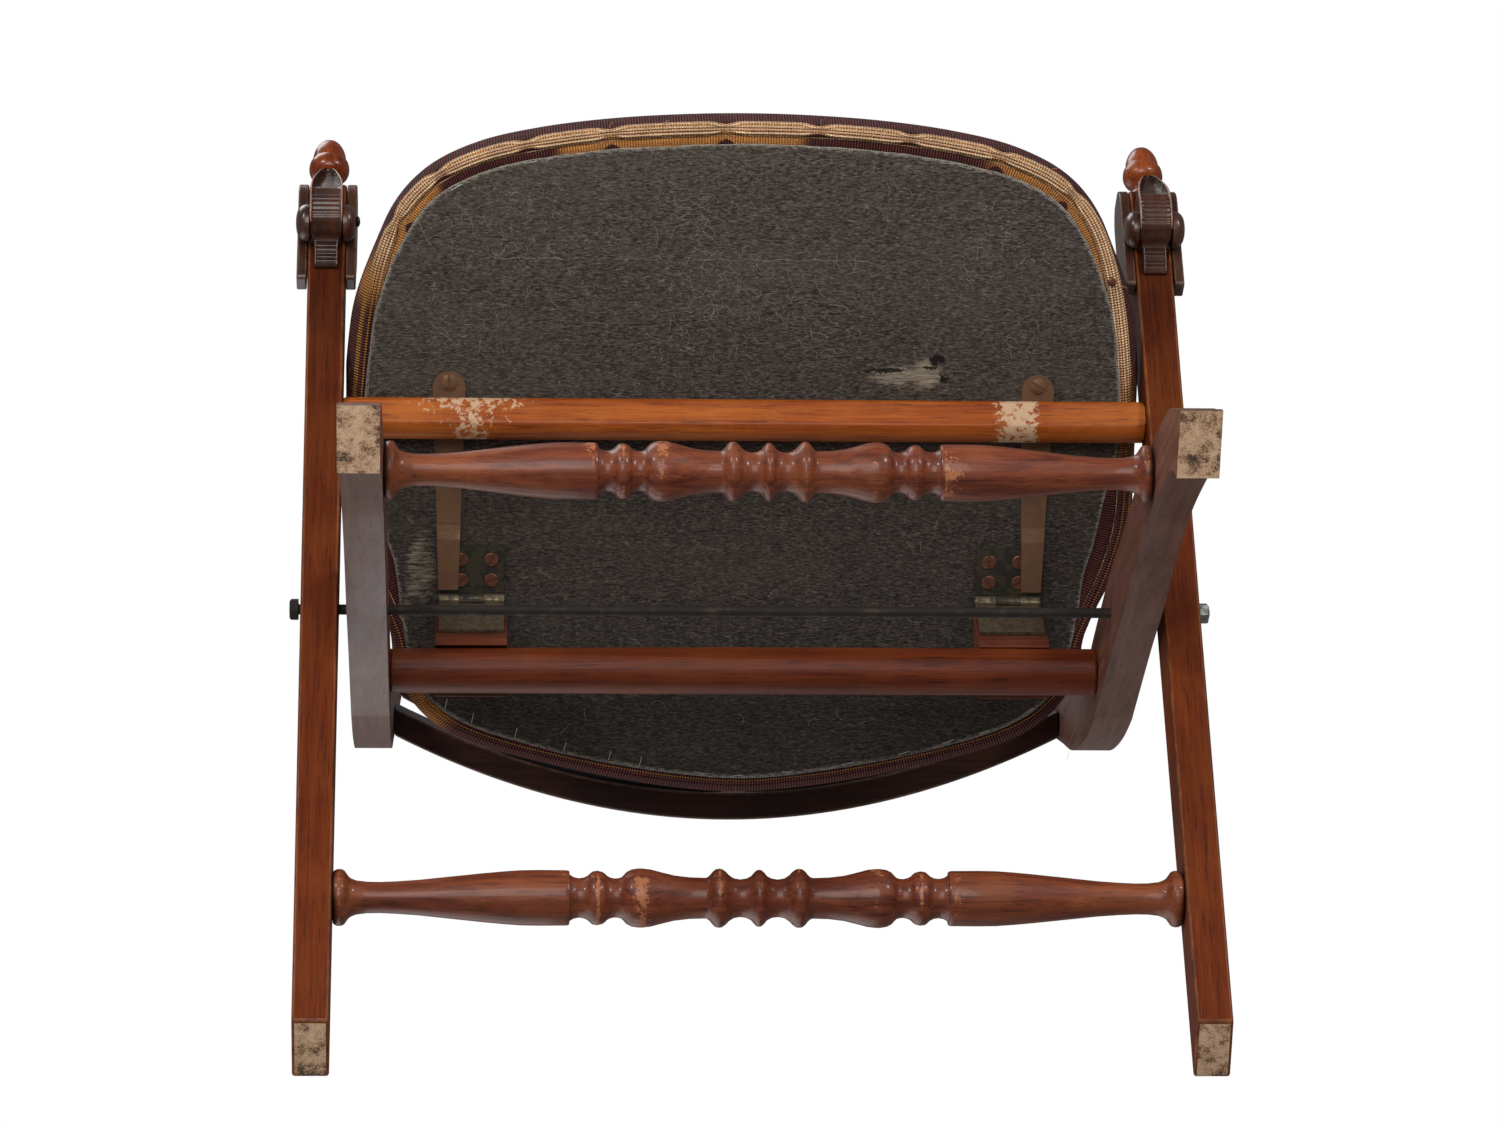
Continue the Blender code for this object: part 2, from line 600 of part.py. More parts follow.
def build_back_legs(frame):
    """Add both ogee legs, bored for the bolt and mortised for every rail between them."""
    cutters = [
        add_cutter("pivot_bore", cylinder_mesh("pivot_bore", BORE_RADIUS,
                                               2 * CROSS_OUTER_HALF + CUT_OVERRUN),
                   frame, PIVOT, ALONG_X),
        add_cutter("hinge_rail_sockets", cylinder_mesh("hinge_rail_sockets", SOCKET_RADIUS,
                                                       2 * (BACK_INNER_HALF + SOCKET_DEPTH)),
                   frame, HINGE_RAIL, ALONG_X),
        add_cutter("front_stretcher_sockets",
                   cylinder_mesh("front_stretcher_sockets", SOCKET_RADIUS,
                                 2 * (BACK_INNER_HALF + SOCKET_DEPTH)),
                   frame, FRONT_STRETCHER, ALONG_X)]
    for name, foot, width in (("lower_rail_mortises", LOWER_RAIL_FOOT, LOWER_RAIL_WIDTH),
                              ("crest_mortises", CREST_FOOT, CREST_WIDTH)):
        size = (2 * (BACK_INNER_HALF + SOCKET_DEPTH), BACK_TENON_THICKNESS + 2 * FIT_GAP,
                width + 2 * (FIT_GAP - WOOD_EDGE))
        centre = foot + UP_THE_BACK * (width / 2)
        cutters.append(add_cutter(name, box_mesh(name, size), frame, centre,
                                  (-RAKE, 0.0, 0.0)))
    outline = back_leg_outline()
    for name, side in (("back_leg_left", -1), ("back_leg_right", 1)):
        mesh = plank_mesh(name, outline, BACK_LEG_THICKNESS)
        middle = side * (BACK_INNER_HALF + BACK_LEG_THICKNESS / 2)
        leg = add_mesh(name, mesh, WALNUT, frame, (middle, 0.0, 0.0), SIDE_ON)
        round_edges(leg, WOOD_EDGE)
        for cutter in cutters:
            cut(leg, cutter)


def build_back_rails(frame):
    """Add the hinge rail, the front stretcher and the two bowed rails of the back."""
    half = BACK_INNER_HALF - FIT_GAP
    add_turned("hinge_rail", rail_profile(HINGE_RAIL_RADIUS, half, TENON_LENGTH), RAIL_WOOD,
               frame, HINGE_RAIL, ALONG_X)
    add_turned("front_stretcher", stretcher_profile(half), DARK_WALNUT, frame,
               FRONT_STRETCHER, ALONG_X)
    lower = bowed_rail_mesh("lower_back_rail", LOWER_RAIL_FOOT, LOWER_RAIL_WIDTH,
                            BACK_RAIL_BOW_DEPTH, LOWER_RAIL_ARCH_HEIGHT, LOWER_TOP_SHARES)
    lower_rail = add_mesh("lower_back_rail", lower, DARK_WALNUT, frame)
    round_edges(lower_rail, WOOD_EDGE)
    add_tenons(lower_rail, frame, LOWER_RAIL_FOOT, LOWER_RAIL_WIDTH)
    crest = bowed_rail_mesh("crest_rail", CREST_FOOT, CREST_WIDTH, CREST_BOW_DEPTH,
                            CREST_ARCH_HEIGHT, CREST_TOP_SHARES)
    crest_rail = add_mesh("crest_rail", crest, WALNUT, frame)
    round_edges(crest_rail, WOOD_EDGE)
    add_tenons(crest_rail, frame, CREST_FOOT, CREST_WIDTH)


def bowed_rail_mesh(name, foot, width, bow, arch, top_shares):
    """Return a back rail bowed to the rear from its foot line, its top edge arched by shares."""
    inner = BACK_INNER_HALF - FIT_GAP
    half = BACK_RAIL_THICKNESS / 2
    rings = []
    for i in range(RAIL_STATIONS + 1):
        share = mix(-1, 1, i / RAIL_STATIONS)
        rise = (1 - abs(share)) * (len(top_shares) - 1)
        low = min(int(rise), len(top_shares) - 2)
        lift = mix(top_shares[low], top_shares[low + 1], rise - low) * arch
        depth = (1 - share ** 2) * bow
        ring = []
        for across, height in ((-half, 0.0), (half, 0.0), (half, width + lift),
                               (-half, width + lift)):
            ring.append(foot + UP_THE_BACK * height + BEHIND_THE_BACK * (depth + across)
                        + Vector((share * inner, 0.0, 0.0)))
        rings.append(ring)
    return loft_mesh(name, rings)


def add_tenons(rail, frame, foot, width):
    """Join a flat tenon to each end of a back rail."""
    length = TENON_LENGTH + TENON_ROOT
    centre = foot + UP_THE_BACK * (width / 2)
    for name, side in (("left", -1), ("right", 1)):
        tenon = box_mesh("tenon", (length, BACK_TENON_THICKNESS, width - 2 * WOOD_EDGE))
        x = side * (BACK_INNER_HALF - FIT_GAP + TENON_LENGTH - length / 2)
        cutter = add_cutter(f"{rail.name}_tenon_{name}", tenon, frame, (x, centre.y, centre.z),
                            (-RAKE, 0.0, 0.0))
        cut(rail, cutter, "UNION")


def build_pivot(frame):
    """Add the long bolt through all four legs, and its nut."""
    grip = CROSS_OUTER_HALF + FIT_GAP
    end = grip + NUT_HEIGHT + BOLT_END_PROUD
    bolt = add_mesh("pivot_bolt", cylinder_mesh("pivot_bolt", BOLT_RADIUS, grip + end), BOLT_IRON,
                    frame, (end / 2 - grip / 2, PIVOT.y, PIVOT.z), ALONG_X)
    head = cylinder_mesh("bolt_head", BOLT_HEAD_RADIUS, BOLT_HEAD_HEIGHT, 6)
    cut(bolt, add_cutter("bolt_head", head, frame,
                         (-grip - BOLT_HEAD_HEIGHT / 2 + FIT_GAP / 2, PIVOT.y, PIVOT.z), ALONG_X),
        "UNION")
    nut = add_mesh("pivot_nut", cylinder_mesh("pivot_nut", NUT_RADIUS, NUT_HEIGHT, 6), NUT_ZINC,
                   frame, (grip + NUT_HEIGHT / 2, PIVOT.y, PIVOT.z), ALONG_X)
    cut(nut, add_cutter("nut_bore", cylinder_mesh("nut_bore", BORE_RADIUS,
                                                  NUT_HEIGHT + CUT_OVERRUN),
                        frame, (grip + NUT_HEIGHT / 2, PIVOT.y, PIVOT.z), ALONG_X))


def block_outline():
    """Return the side outline of a hinge block, saddled over the hinge rail."""
    rail = HINGE_RAIL - SEAT_PIN
    saddle = HINGE_RAIL_RADIUS + FIT_GAP
    face = math.radians(BLOCK_FACE_DEGREES)
    reach = (rail.y - BLOCK_FACE_SETBACK) * math.cos(face) + rail.z * math.sin(face)
    start = math.pi + face - math.acos(reach / saddle)
    points = [(BLOCK_FACE_SETBACK + BLOCK_TOP_DROP * math.tan(face), -BLOCK_TOP_DROP)]
    for step in range(ARC_STEPS + 1):
        turn = mix(start, 0.0, step / ARC_STEPS)
        points.append((rail.y + saddle * math.cos(turn), rail.z + saddle * math.sin(turn)))
    heel = rail.y + saddle + BLOCK_HEEL_DEPTH
    points.append((heel, rail.z))
    points.append((heel, rail.z + BLOCK_HEEL_HEIGHT))
    return points


def build_hinge_blocks(frame):
    """Add the blocks on the hinge rail, and on each its hinge leaf and pin."""
    pin_half = HINGE_WIDTH / 2 + HINGE_PIN_PROUD
    outline = block_outline()
    for name, side in (("left", -1), ("right", 1)):
        middle = (side * HINGE_MIDDLE, SEAT_PIN.y, SEAT_PIN.z)
        block = add_mesh("hinge_block_" + name, plank_mesh("block", outline, BLOCK_WIDTH),
                         DARK_WALNUT, frame, middle, SIDE_ON)
        round_edges(block, WOOD_EDGE / 2)
        face = math.radians(BLOCK_FACE_DEGREES)
        depth = BLOCK_FACE_SETBACK * math.cos(face) - FIT_GAP - LEAF_THICKNESS / 2
        plate = (HINGE_WIDTH, LEAF_THICKNESS, BLOCK_LEAF_LENGTH)
        add_leaf("block_leaf_" + name, frame, middle, face, plate,
                 (0.0, depth, -BLOCK_LEAF_LENGTH / 2), outer=True)
        add_mesh("hinge_pin_" + name, cylinder_mesh("hinge_pin", HINGE_PIN_RADIUS, 2 * pin_half,
                                                     HINGE_SEGMENTS),
                 HINGE_STEEL, frame, middle, ALONG_X)


def add_leaf(name, frame, pin, turn, plate, centre, outer):
    """Add one hinge leaf: a plate joined to its knuckles and bored for the pin.

    The outer leaf holds the two end knuckles, the inner leaf the middle one.
    """
    axis = add_empty(name + "_pin_line", frame, pin, (turn, 0.0, 0.0))
    leaf = add_mesh(name, box_mesh(name, plate), HINGE_STEEL, axis, centre)
    middle = HINGE_WIDTH * MIDDLE_KNUCKLE_SHARE
    end = (HINGE_WIDTH - middle) / 2 - BORE_GAP
    clear_radius = HINGE_KNUCKLE_RADIUS + BORE_GAP
    if outer:
        places = ((HINGE_WIDTH / 2 - end / 2, end), (end / 2 - HINGE_WIDTH / 2, end))
        reliefs = ((0.0, middle + 2 * BORE_GAP),)
    else:
        places = ((0.0, middle),)
        span = end + 2 * BORE_GAP
        reliefs = ((HINGE_WIDTH / 2 - end / 2, span), (end / 2 - HINGE_WIDTH / 2, span))
    for i, (x, length) in enumerate(reliefs):
        relief = cylinder_mesh(name + "_relief", clear_radius, length, HINGE_SEGMENTS)
        cut(leaf, add_cutter(f"{name}_relief_{i}", relief, axis, (x, 0.0, 0.0), ALONG_X))
    for i, (x, length) in enumerate(places):
        knuckle = cylinder_mesh(name + "_knuckle", HINGE_KNUCKLE_RADIUS, length, HINGE_SEGMENTS)
        cut(leaf, add_cutter(f"{name}_knuckle_{i}", knuckle, axis, (x, 0.0, 0.0), ALONG_X),
            "UNION")
    bore = cylinder_mesh(name + "_bore", HINGE_PIN_RADIUS + FIT_GAP, HINGE_WIDTH + CUT_OVERRUN,
                         HINGE_SEGMENTS)
    cut(leaf, add_cutter(name + "_bore", bore, axis, (0.0, 0.0, 0.0), ALONG_X))
    return leaf


def build_cross_frame(axis):
    """Add the cross legs with their rail and stretcher, about the pivot's axis."""
    rail_place = (0.0, 0.0, SEAT_RAIL_REACH)
    stretcher_place = (0.0, 0.0, -REAR_STRETCHER_DROP)
    socket_span = 2 * (CROSS_INNER_HALF + SOCKET_DEPTH)
    bore = cylinder_mesh("cross_bore", BORE_RADIUS, 2 * CROSS_OUTER_HALF + CUT_OVERRUN)
    sockets = cylinder_mesh("rail_sockets", SOCKET_RADIUS, socket_span)
    cutters = [add_cutter("cross_bore", bore, axis, (0.0, 0.0, 0.0), ALONG_X),
               add_cutter("seat_rail_sockets", sockets, axis, rail_place, ALONG_X),
               add_cutter("rear_stretcher_sockets", sockets.copy(), axis, stretcher_place,
                          ALONG_X)]
    peg_depth = FINIAL_PEG_LENGTH + SOCKET_END_GAP
    half = CROSS_INNER_HALF - FIT_GAP
    for name, side in (("left", -1), ("right", 1)):
        middle = side * (CROSS_INNER_HALF + CROSS_LEG_THICKNESS / 2)
        leg = add_mesh("cross_leg_" + name, cross_leg_mesh(side), WALNUT, axis,
                       (middle, 0.0, 0.0), SIDE_ON)
        round_edges(leg, WOOD_EDGE)
        peg = cylinder_mesh("peg_hole", FINIAL_PEG_RADIUS + FIT_GAP, 2 * peg_depth)
        peg_hole = add_cutter("peg_hole_" + name, peg, axis, (middle, 0.0, CROSS_LEG_REACH))
        for cutter in cutters + [peg_hole]:
            cut(leg, cutter)
        build_arm_top(axis, name, side, middle)
    add_turned("seat_rail", rail_profile(SEAT_RAIL_RADIUS, half, TENON_LENGTH), RAIL_WOOD, axis,
               rail_place, ALONG_X)
    add_turned("rear_stretcher", stretcher_profile(half), DARK_WALNUT, axis, stretcher_place,
               ALONG_X)


def build_arm_top(axis, name, side, middle):
    """Add the cheeks, the carved scroll, its buttons and the finial of one arm top."""
    offset = CROSS_LEG_THICKNESS / 2 + FIT_GAP + CHEEK_THICKNESS / 2
    outline = cheek_outline()
    for where, x in (("outer", middle + side * offset), ("inner", middle - side * offset)):
        cheek = add_mesh(f"cheek_{where}_{name}", plank_mesh("cheek", outline, CHEEK_THICKNESS),
                         DARK_WALNUT, axis, (x, 0.0, 0.0), SIDE_ON)
        round_edges(cheek, WOOD_EDGE)
    add_mesh("scroll_" + name, scroll_mesh(), WALNUT, axis, (middle, 0.0, 0.0))
    profile = [(radius * BUTTON_RADIUS, up * BUTTON_HEIGHT) for radius, up in BUTTON_SHARES]
    profile.append((0.0, 0.0))
    seat = SCROLL_HALF_WIDTH + FIT_GAP
    for where, turn in (("outer", side), ("inner", -side)):
        add_turned(f"button_{where}_{name}", profile, DARK_WALNUT, axis,
                   (middle + turn * seat, -BUTTON_DROP, BUTTON_ALONG),
                   (0.0, turn * math.radians(90), 0.0))
    base = CROSS_LEG_REACH + FIT_GAP
    finial = [(radius * FINIAL_RADIUS, up * FINIAL_LENGTH) for radius, up in FINIAL_SHARES]
    finial += [(FINIAL_PEG_RADIUS, 0.0), (FINIAL_PEG_RADIUS, -FINIAL_PEG_LENGTH),
               (0.0, -FINIAL_PEG_LENGTH)]
    add_turned("finial_" + name, finial, WALNUT, axis, (middle, 0.0, base))


def seat_outline(inset):
    """Return the outline of the seat, drawn in by an inset, round from its front."""
    half = [(-along * SEAT_FRONT_REACH, width * SEAT_HALF_WIDTH)
            for along, width in SEAT_FRONT_SHARES]
    half += [(along * SEAT_REAR_REACH, width * SEAT_HALF_WIDTH)
             for along, width in SEAT_REAR_SHARES]
    outline = [(width, back) for back, width in half]
    outline += [(-width, back) for back, width in reversed(half[1:-1])]
    drawn = []
    for i, (x, y) in enumerate(outline):
        behind = outline[i - 1]
        ahead = outline[(i + 1) % len(outline)]
        along = Vector((ahead[0] - behind[0], ahead[1] - behind[1])).normalized()
        drawn.append((x - along.y * inset, y + along.x * inset))
    return drawn


def build_seat(axis):
    """Add the seat board, its dust cover and its cushion, about the hinge pins' axis."""
    board = plank_mesh("seat_board", seat_outline(BOARD_INSET), BOARD_THICKNESS)
    add_mesh("seat_board", board, BOARD_WOOD, axis,
             (0.0, 0.0, BOARD_LIFT + BOARD_THICKNESS / 2))
    cover = plank_mesh("dust_cover", seat_outline(COVER_INSET), COVER_THICKNESS)
    add_mesh("dust_cover", cover, COVER_CLOTH, axis,
             (0.0, 0.0, COVER_LIFT + COVER_THICKNESS / 2))
    add_mesh("cushion", cushion_mesh(), SEAT_FABRIC, axis)


def cushion_mesh():
    """Return the stuffed seat: crowned, seamed round, and turned under the board's edge."""
    lip_top = BOARD_LIFT - FIT_GAP
    lip_under = lip_top - CUSHION_LIP
    lip_inset = COVER_INSET - FIT_GAP
    pocket_top = BOARD_LIFT + BOARD_THICKNESS + FIT_GAP
    pocket_inset = BOARD_INSET - FIT_GAP
    wall_top = lip_under + CUSHION_WALL
    middle = (SEAT_REAR_REACH - SEAT_FRONT_REACH) / 2
    rings = []

    def ring(inset, height, shrink=0.0):
        points = []
        for x, y in seat_outline(inset):
            points.append((mix(x, 0.0, shrink), mix(y, middle, shrink), height))
        rings.append(points)

    ring(pocket_inset, pocket_top, shrink=CROWN_SHARES[-1][0])
    ring(pocket_inset, pocket_top)
    ring(pocket_inset, lip_top)
    ring(lip_inset, lip_top)
    ring(lip_inset, lip_under)
    for up, inset in WALL_SHARES:
        ring(inset * CUSHION_SEAM_DEPTH, mix(lip_under, wall_top, up))
    ring(CUSHION_SEAM_DEPTH * WALL_SHARES[-2][1], wall_top)
    for shrink, up in CROWN_SHARES:
        ring(0.0, mix(wall_top, lip_under + CUSHION_WALL + CUSHION_CROWN / 2, up), shrink)
    return loft_mesh("cushion", rings)


def build_seat_irons(axis):
    """Add the hinge leaves and the iron runners that are screwed under the seat."""
    lift = HINGE_KNUCKLE_RADIUS - LEAF_THICKNESS / 2
    for name, side in (("left", -1), ("right", 1)):
        pin = (side * HINGE_MIDDLE, 0.0, 0.0)
        add_leaf("seat_leaf_" + name, axis, pin, 0.0,
                 (HINGE_WIDTH, SEAT_LEAF_LENGTH, LEAF_THICKNESS),
                 (0.0, -SEAT_LEAF_LENGTH / 2, lift), outer=False)
        add_mesh("runner_" + name, runner_mesh(), RUNNER_IRON, axis,
                 (side * RUNNER_MIDDLE, 0.0, 0.0))


def runner_mesh():
    """Return a runner strap: round in front, tapered, and stepped down over its hinge leaf."""
    nose = RUNNER_WIDTH / 2
    front = -RUNNER_TAIL - RUNNER_LENGTH
    stations = []
    for step in range(1, ARC_STEPS):
        turn = math.pi / 2 * step / ARC_STEPS
        stations.append((front + nose * (1 - math.cos(turn)), nose * math.sin(turn), RUNNER_LIFT))
    stations.append((front + nose, nose, RUNNER_LIFT))
    taper = (nose - RUNNER_TAIL_WIDTH / 2) / (RUNNER_LENGTH - nose)
    for back, lift in ((-RUNNER_STEP_START, RUNNER_LIFT),
                       (-RUNNER_STEP_END, RUNNER_LIFT - RUNNER_STEP),
                       (-RUNNER_TAIL, RUNNER_LIFT - RUNNER_STEP)):
        stations.append((back, nose - (back - front - nose) * taper, lift))
    rings = []
    for back, half, lift in stations:
        rings.append([(-half, back, lift), (half, back, lift),
                      (half, back, lift + RUNNER_THICKNESS),
                      (-half, back, lift + RUNNER_THICKNESS)])
    return loft_mesh("runner", rings)


def stand_on_origin(stand):
    """Move the chair so that the middle of its box stands on the origin."""
    bpy.context.view_layer.update()
    depsgraph = bpy.context.evaluated_depsgraph_get()
    backs = []
    for part in CHAIR.objects:
        if part.type == "MESH":
            evaluated = part.evaluated_get(depsgraph)
            mesh = evaluated.to_mesh()
            backs += [(part.matrix_world @ vertex.co).y for vertex in mesh.vertices]
            evaluated.to_mesh_clear()
    stand.location.y = -(min(backs) + max(backs)) / 2


clear_scene()
CHAIR = new_collection("folding_side_chair")
GUIDES = new_collection("guides")
stand_empty = add_empty("stand", None, (0, 0, 0), (0, 0, 0))
cross_empty = add_empty("pivot_axis", stand_empty, PIVOT, (math.radians(90) - LEAN, 0.0, 0.0))
seat_empty = add_empty("seat_axis", stand_empty, SEAT_PIN, (-TILT, 0.0, 0.0))
build_back_legs(stand_empty)
build_back_rails(stand_empty)
build_pivot(stand_empty)
build_hinge_blocks(stand_empty)
build_cross_frame(cross_empty)
build_seat(seat_empty)
build_seat_irons(seat_empty)
stand_on_origin(stand_empty)
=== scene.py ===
"""Looks of a folding walnut side chair with an upholstered, hinged seat.

Each class is one sub-assembly of the chair. It holds its sizes in metres, builds its
meshes in the chair's own frame and dresses them with procedural finishes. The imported
solids give the places: X runs across the chair, -Y is its front and Z is up.
"""

import logging
import math
import random
from dataclasses import dataclass, field
from enum import Enum
from typing import Callable, Iterable, Optional, Sequence

import bmesh
import bpy
from mathutils import Matrix, Vector, noise


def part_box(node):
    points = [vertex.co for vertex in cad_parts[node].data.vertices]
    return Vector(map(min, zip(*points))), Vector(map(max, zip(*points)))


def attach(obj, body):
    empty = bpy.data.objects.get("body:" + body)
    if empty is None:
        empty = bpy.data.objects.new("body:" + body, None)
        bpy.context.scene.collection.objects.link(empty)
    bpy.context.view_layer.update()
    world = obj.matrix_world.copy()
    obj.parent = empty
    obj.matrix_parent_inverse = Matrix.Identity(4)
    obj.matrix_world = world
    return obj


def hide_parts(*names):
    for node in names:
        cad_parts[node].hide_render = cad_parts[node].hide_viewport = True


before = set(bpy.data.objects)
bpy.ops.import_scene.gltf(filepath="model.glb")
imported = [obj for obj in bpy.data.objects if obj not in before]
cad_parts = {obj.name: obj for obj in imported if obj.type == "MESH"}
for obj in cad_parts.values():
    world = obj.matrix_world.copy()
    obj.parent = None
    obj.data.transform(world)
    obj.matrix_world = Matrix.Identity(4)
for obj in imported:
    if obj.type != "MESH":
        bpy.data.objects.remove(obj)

LOG = logging.getLogger("chair")
MM = 0.001
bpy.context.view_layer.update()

Ring = list[Vector]
Mesh = tuple[list[Vector], list[tuple[int, ...]]]


class Body(Enum):
    """The three rigid groups of the folding chair."""

    BACK = "back_frame"
    CROSS = "cross_frame"
    SEAT = "seat"


class Side(Enum):
    """The two sides of the chair, with the sign of X on each."""

    LEFT = -1
    RIGHT = 1

    @property
    def word(self) -> str:
        """The side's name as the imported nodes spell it."""
        return self.name.lower()


class Grain(Enum):
    """The way the wood's grain runs in a member."""

    ACROSS = "across"
    BACK_LEG = "back_leg"
    CROSS_LEG = "cross_leg"
    BACK_RAIL = "back_rail"


# ---------------------------------------------------------------- colours and nodes


def srgb(code: str) -> tuple[float, float, float, float]:
    """Turn an sRGB hex colour into a linear colour.

    Args:
        code: six hex digits, red first.

    Returns:
        Linear red, green and blue, with an alpha of one.
    """
    channels = [int(code[i:i + 2], 16) / 255 for i in (0, 2, 4)]
    return (*[c / 12.92 if c <= 0.04045 else ((c + 0.055) / 1.055) ** 2.4 for c in channels], 1.0)


def add_node(tree: bpy.types.NodeTree, kind: str, settings: Optional[dict] = None,
             inputs: Optional[dict] = None) -> bpy.types.Node:
    """Add a shader node with its settings, values and links.

    Args:
        tree: the node tree that gets the node.
        kind: the node's type.
        settings: attribute names and values; "stops" sets a colour ramp's stops.
        inputs: input names or indices, each with a value or an output to link.

    Returns:
        The new node.
    """
    made = tree.nodes.new(kind)
    for name, value in (settings or {}).items():
        if name == "stops":
            ramp = made.color_ramp
            while len(ramp.elements) < len(value):
                ramp.elements.new(0.5)
            for element, (place, colour) in zip(ramp.elements, value):
                element.position = place
                element.color = srgb(colour) if isinstance(colour, str) else (*[colour] * 3, 1.0)
        else:
            setattr(made, name, value)
    for key, value in (inputs or {}).items():
        if isinstance(value, bpy.types.NodeSocket):
            tree.links.new(value, made.inputs[key])
        else:
            made.inputs[key].default_value = value
    return made


def new_material(name: str) -> tuple[bpy.types.Material, bpy.types.NodeTree, bpy.types.Node]:
    """Return a new material, its node tree and its Principled shader."""
    material = bpy.data.materials.new(name)
    material.use_nodes = True
    tree = material.node_tree
    return material, tree, tree.nodes["Principled BSDF"]


def set_inputs(tree: bpy.types.NodeTree, shader: bpy.types.Node, inputs: dict) -> None:
    """Set values on a shader's own sockets, or link outputs to them."""
    for key, value in inputs.items():
        if isinstance(value, bpy.types.NodeSocket):
            tree.links.new(value, shader.inputs[key])
        else:
            shader.inputs[key].default_value = value


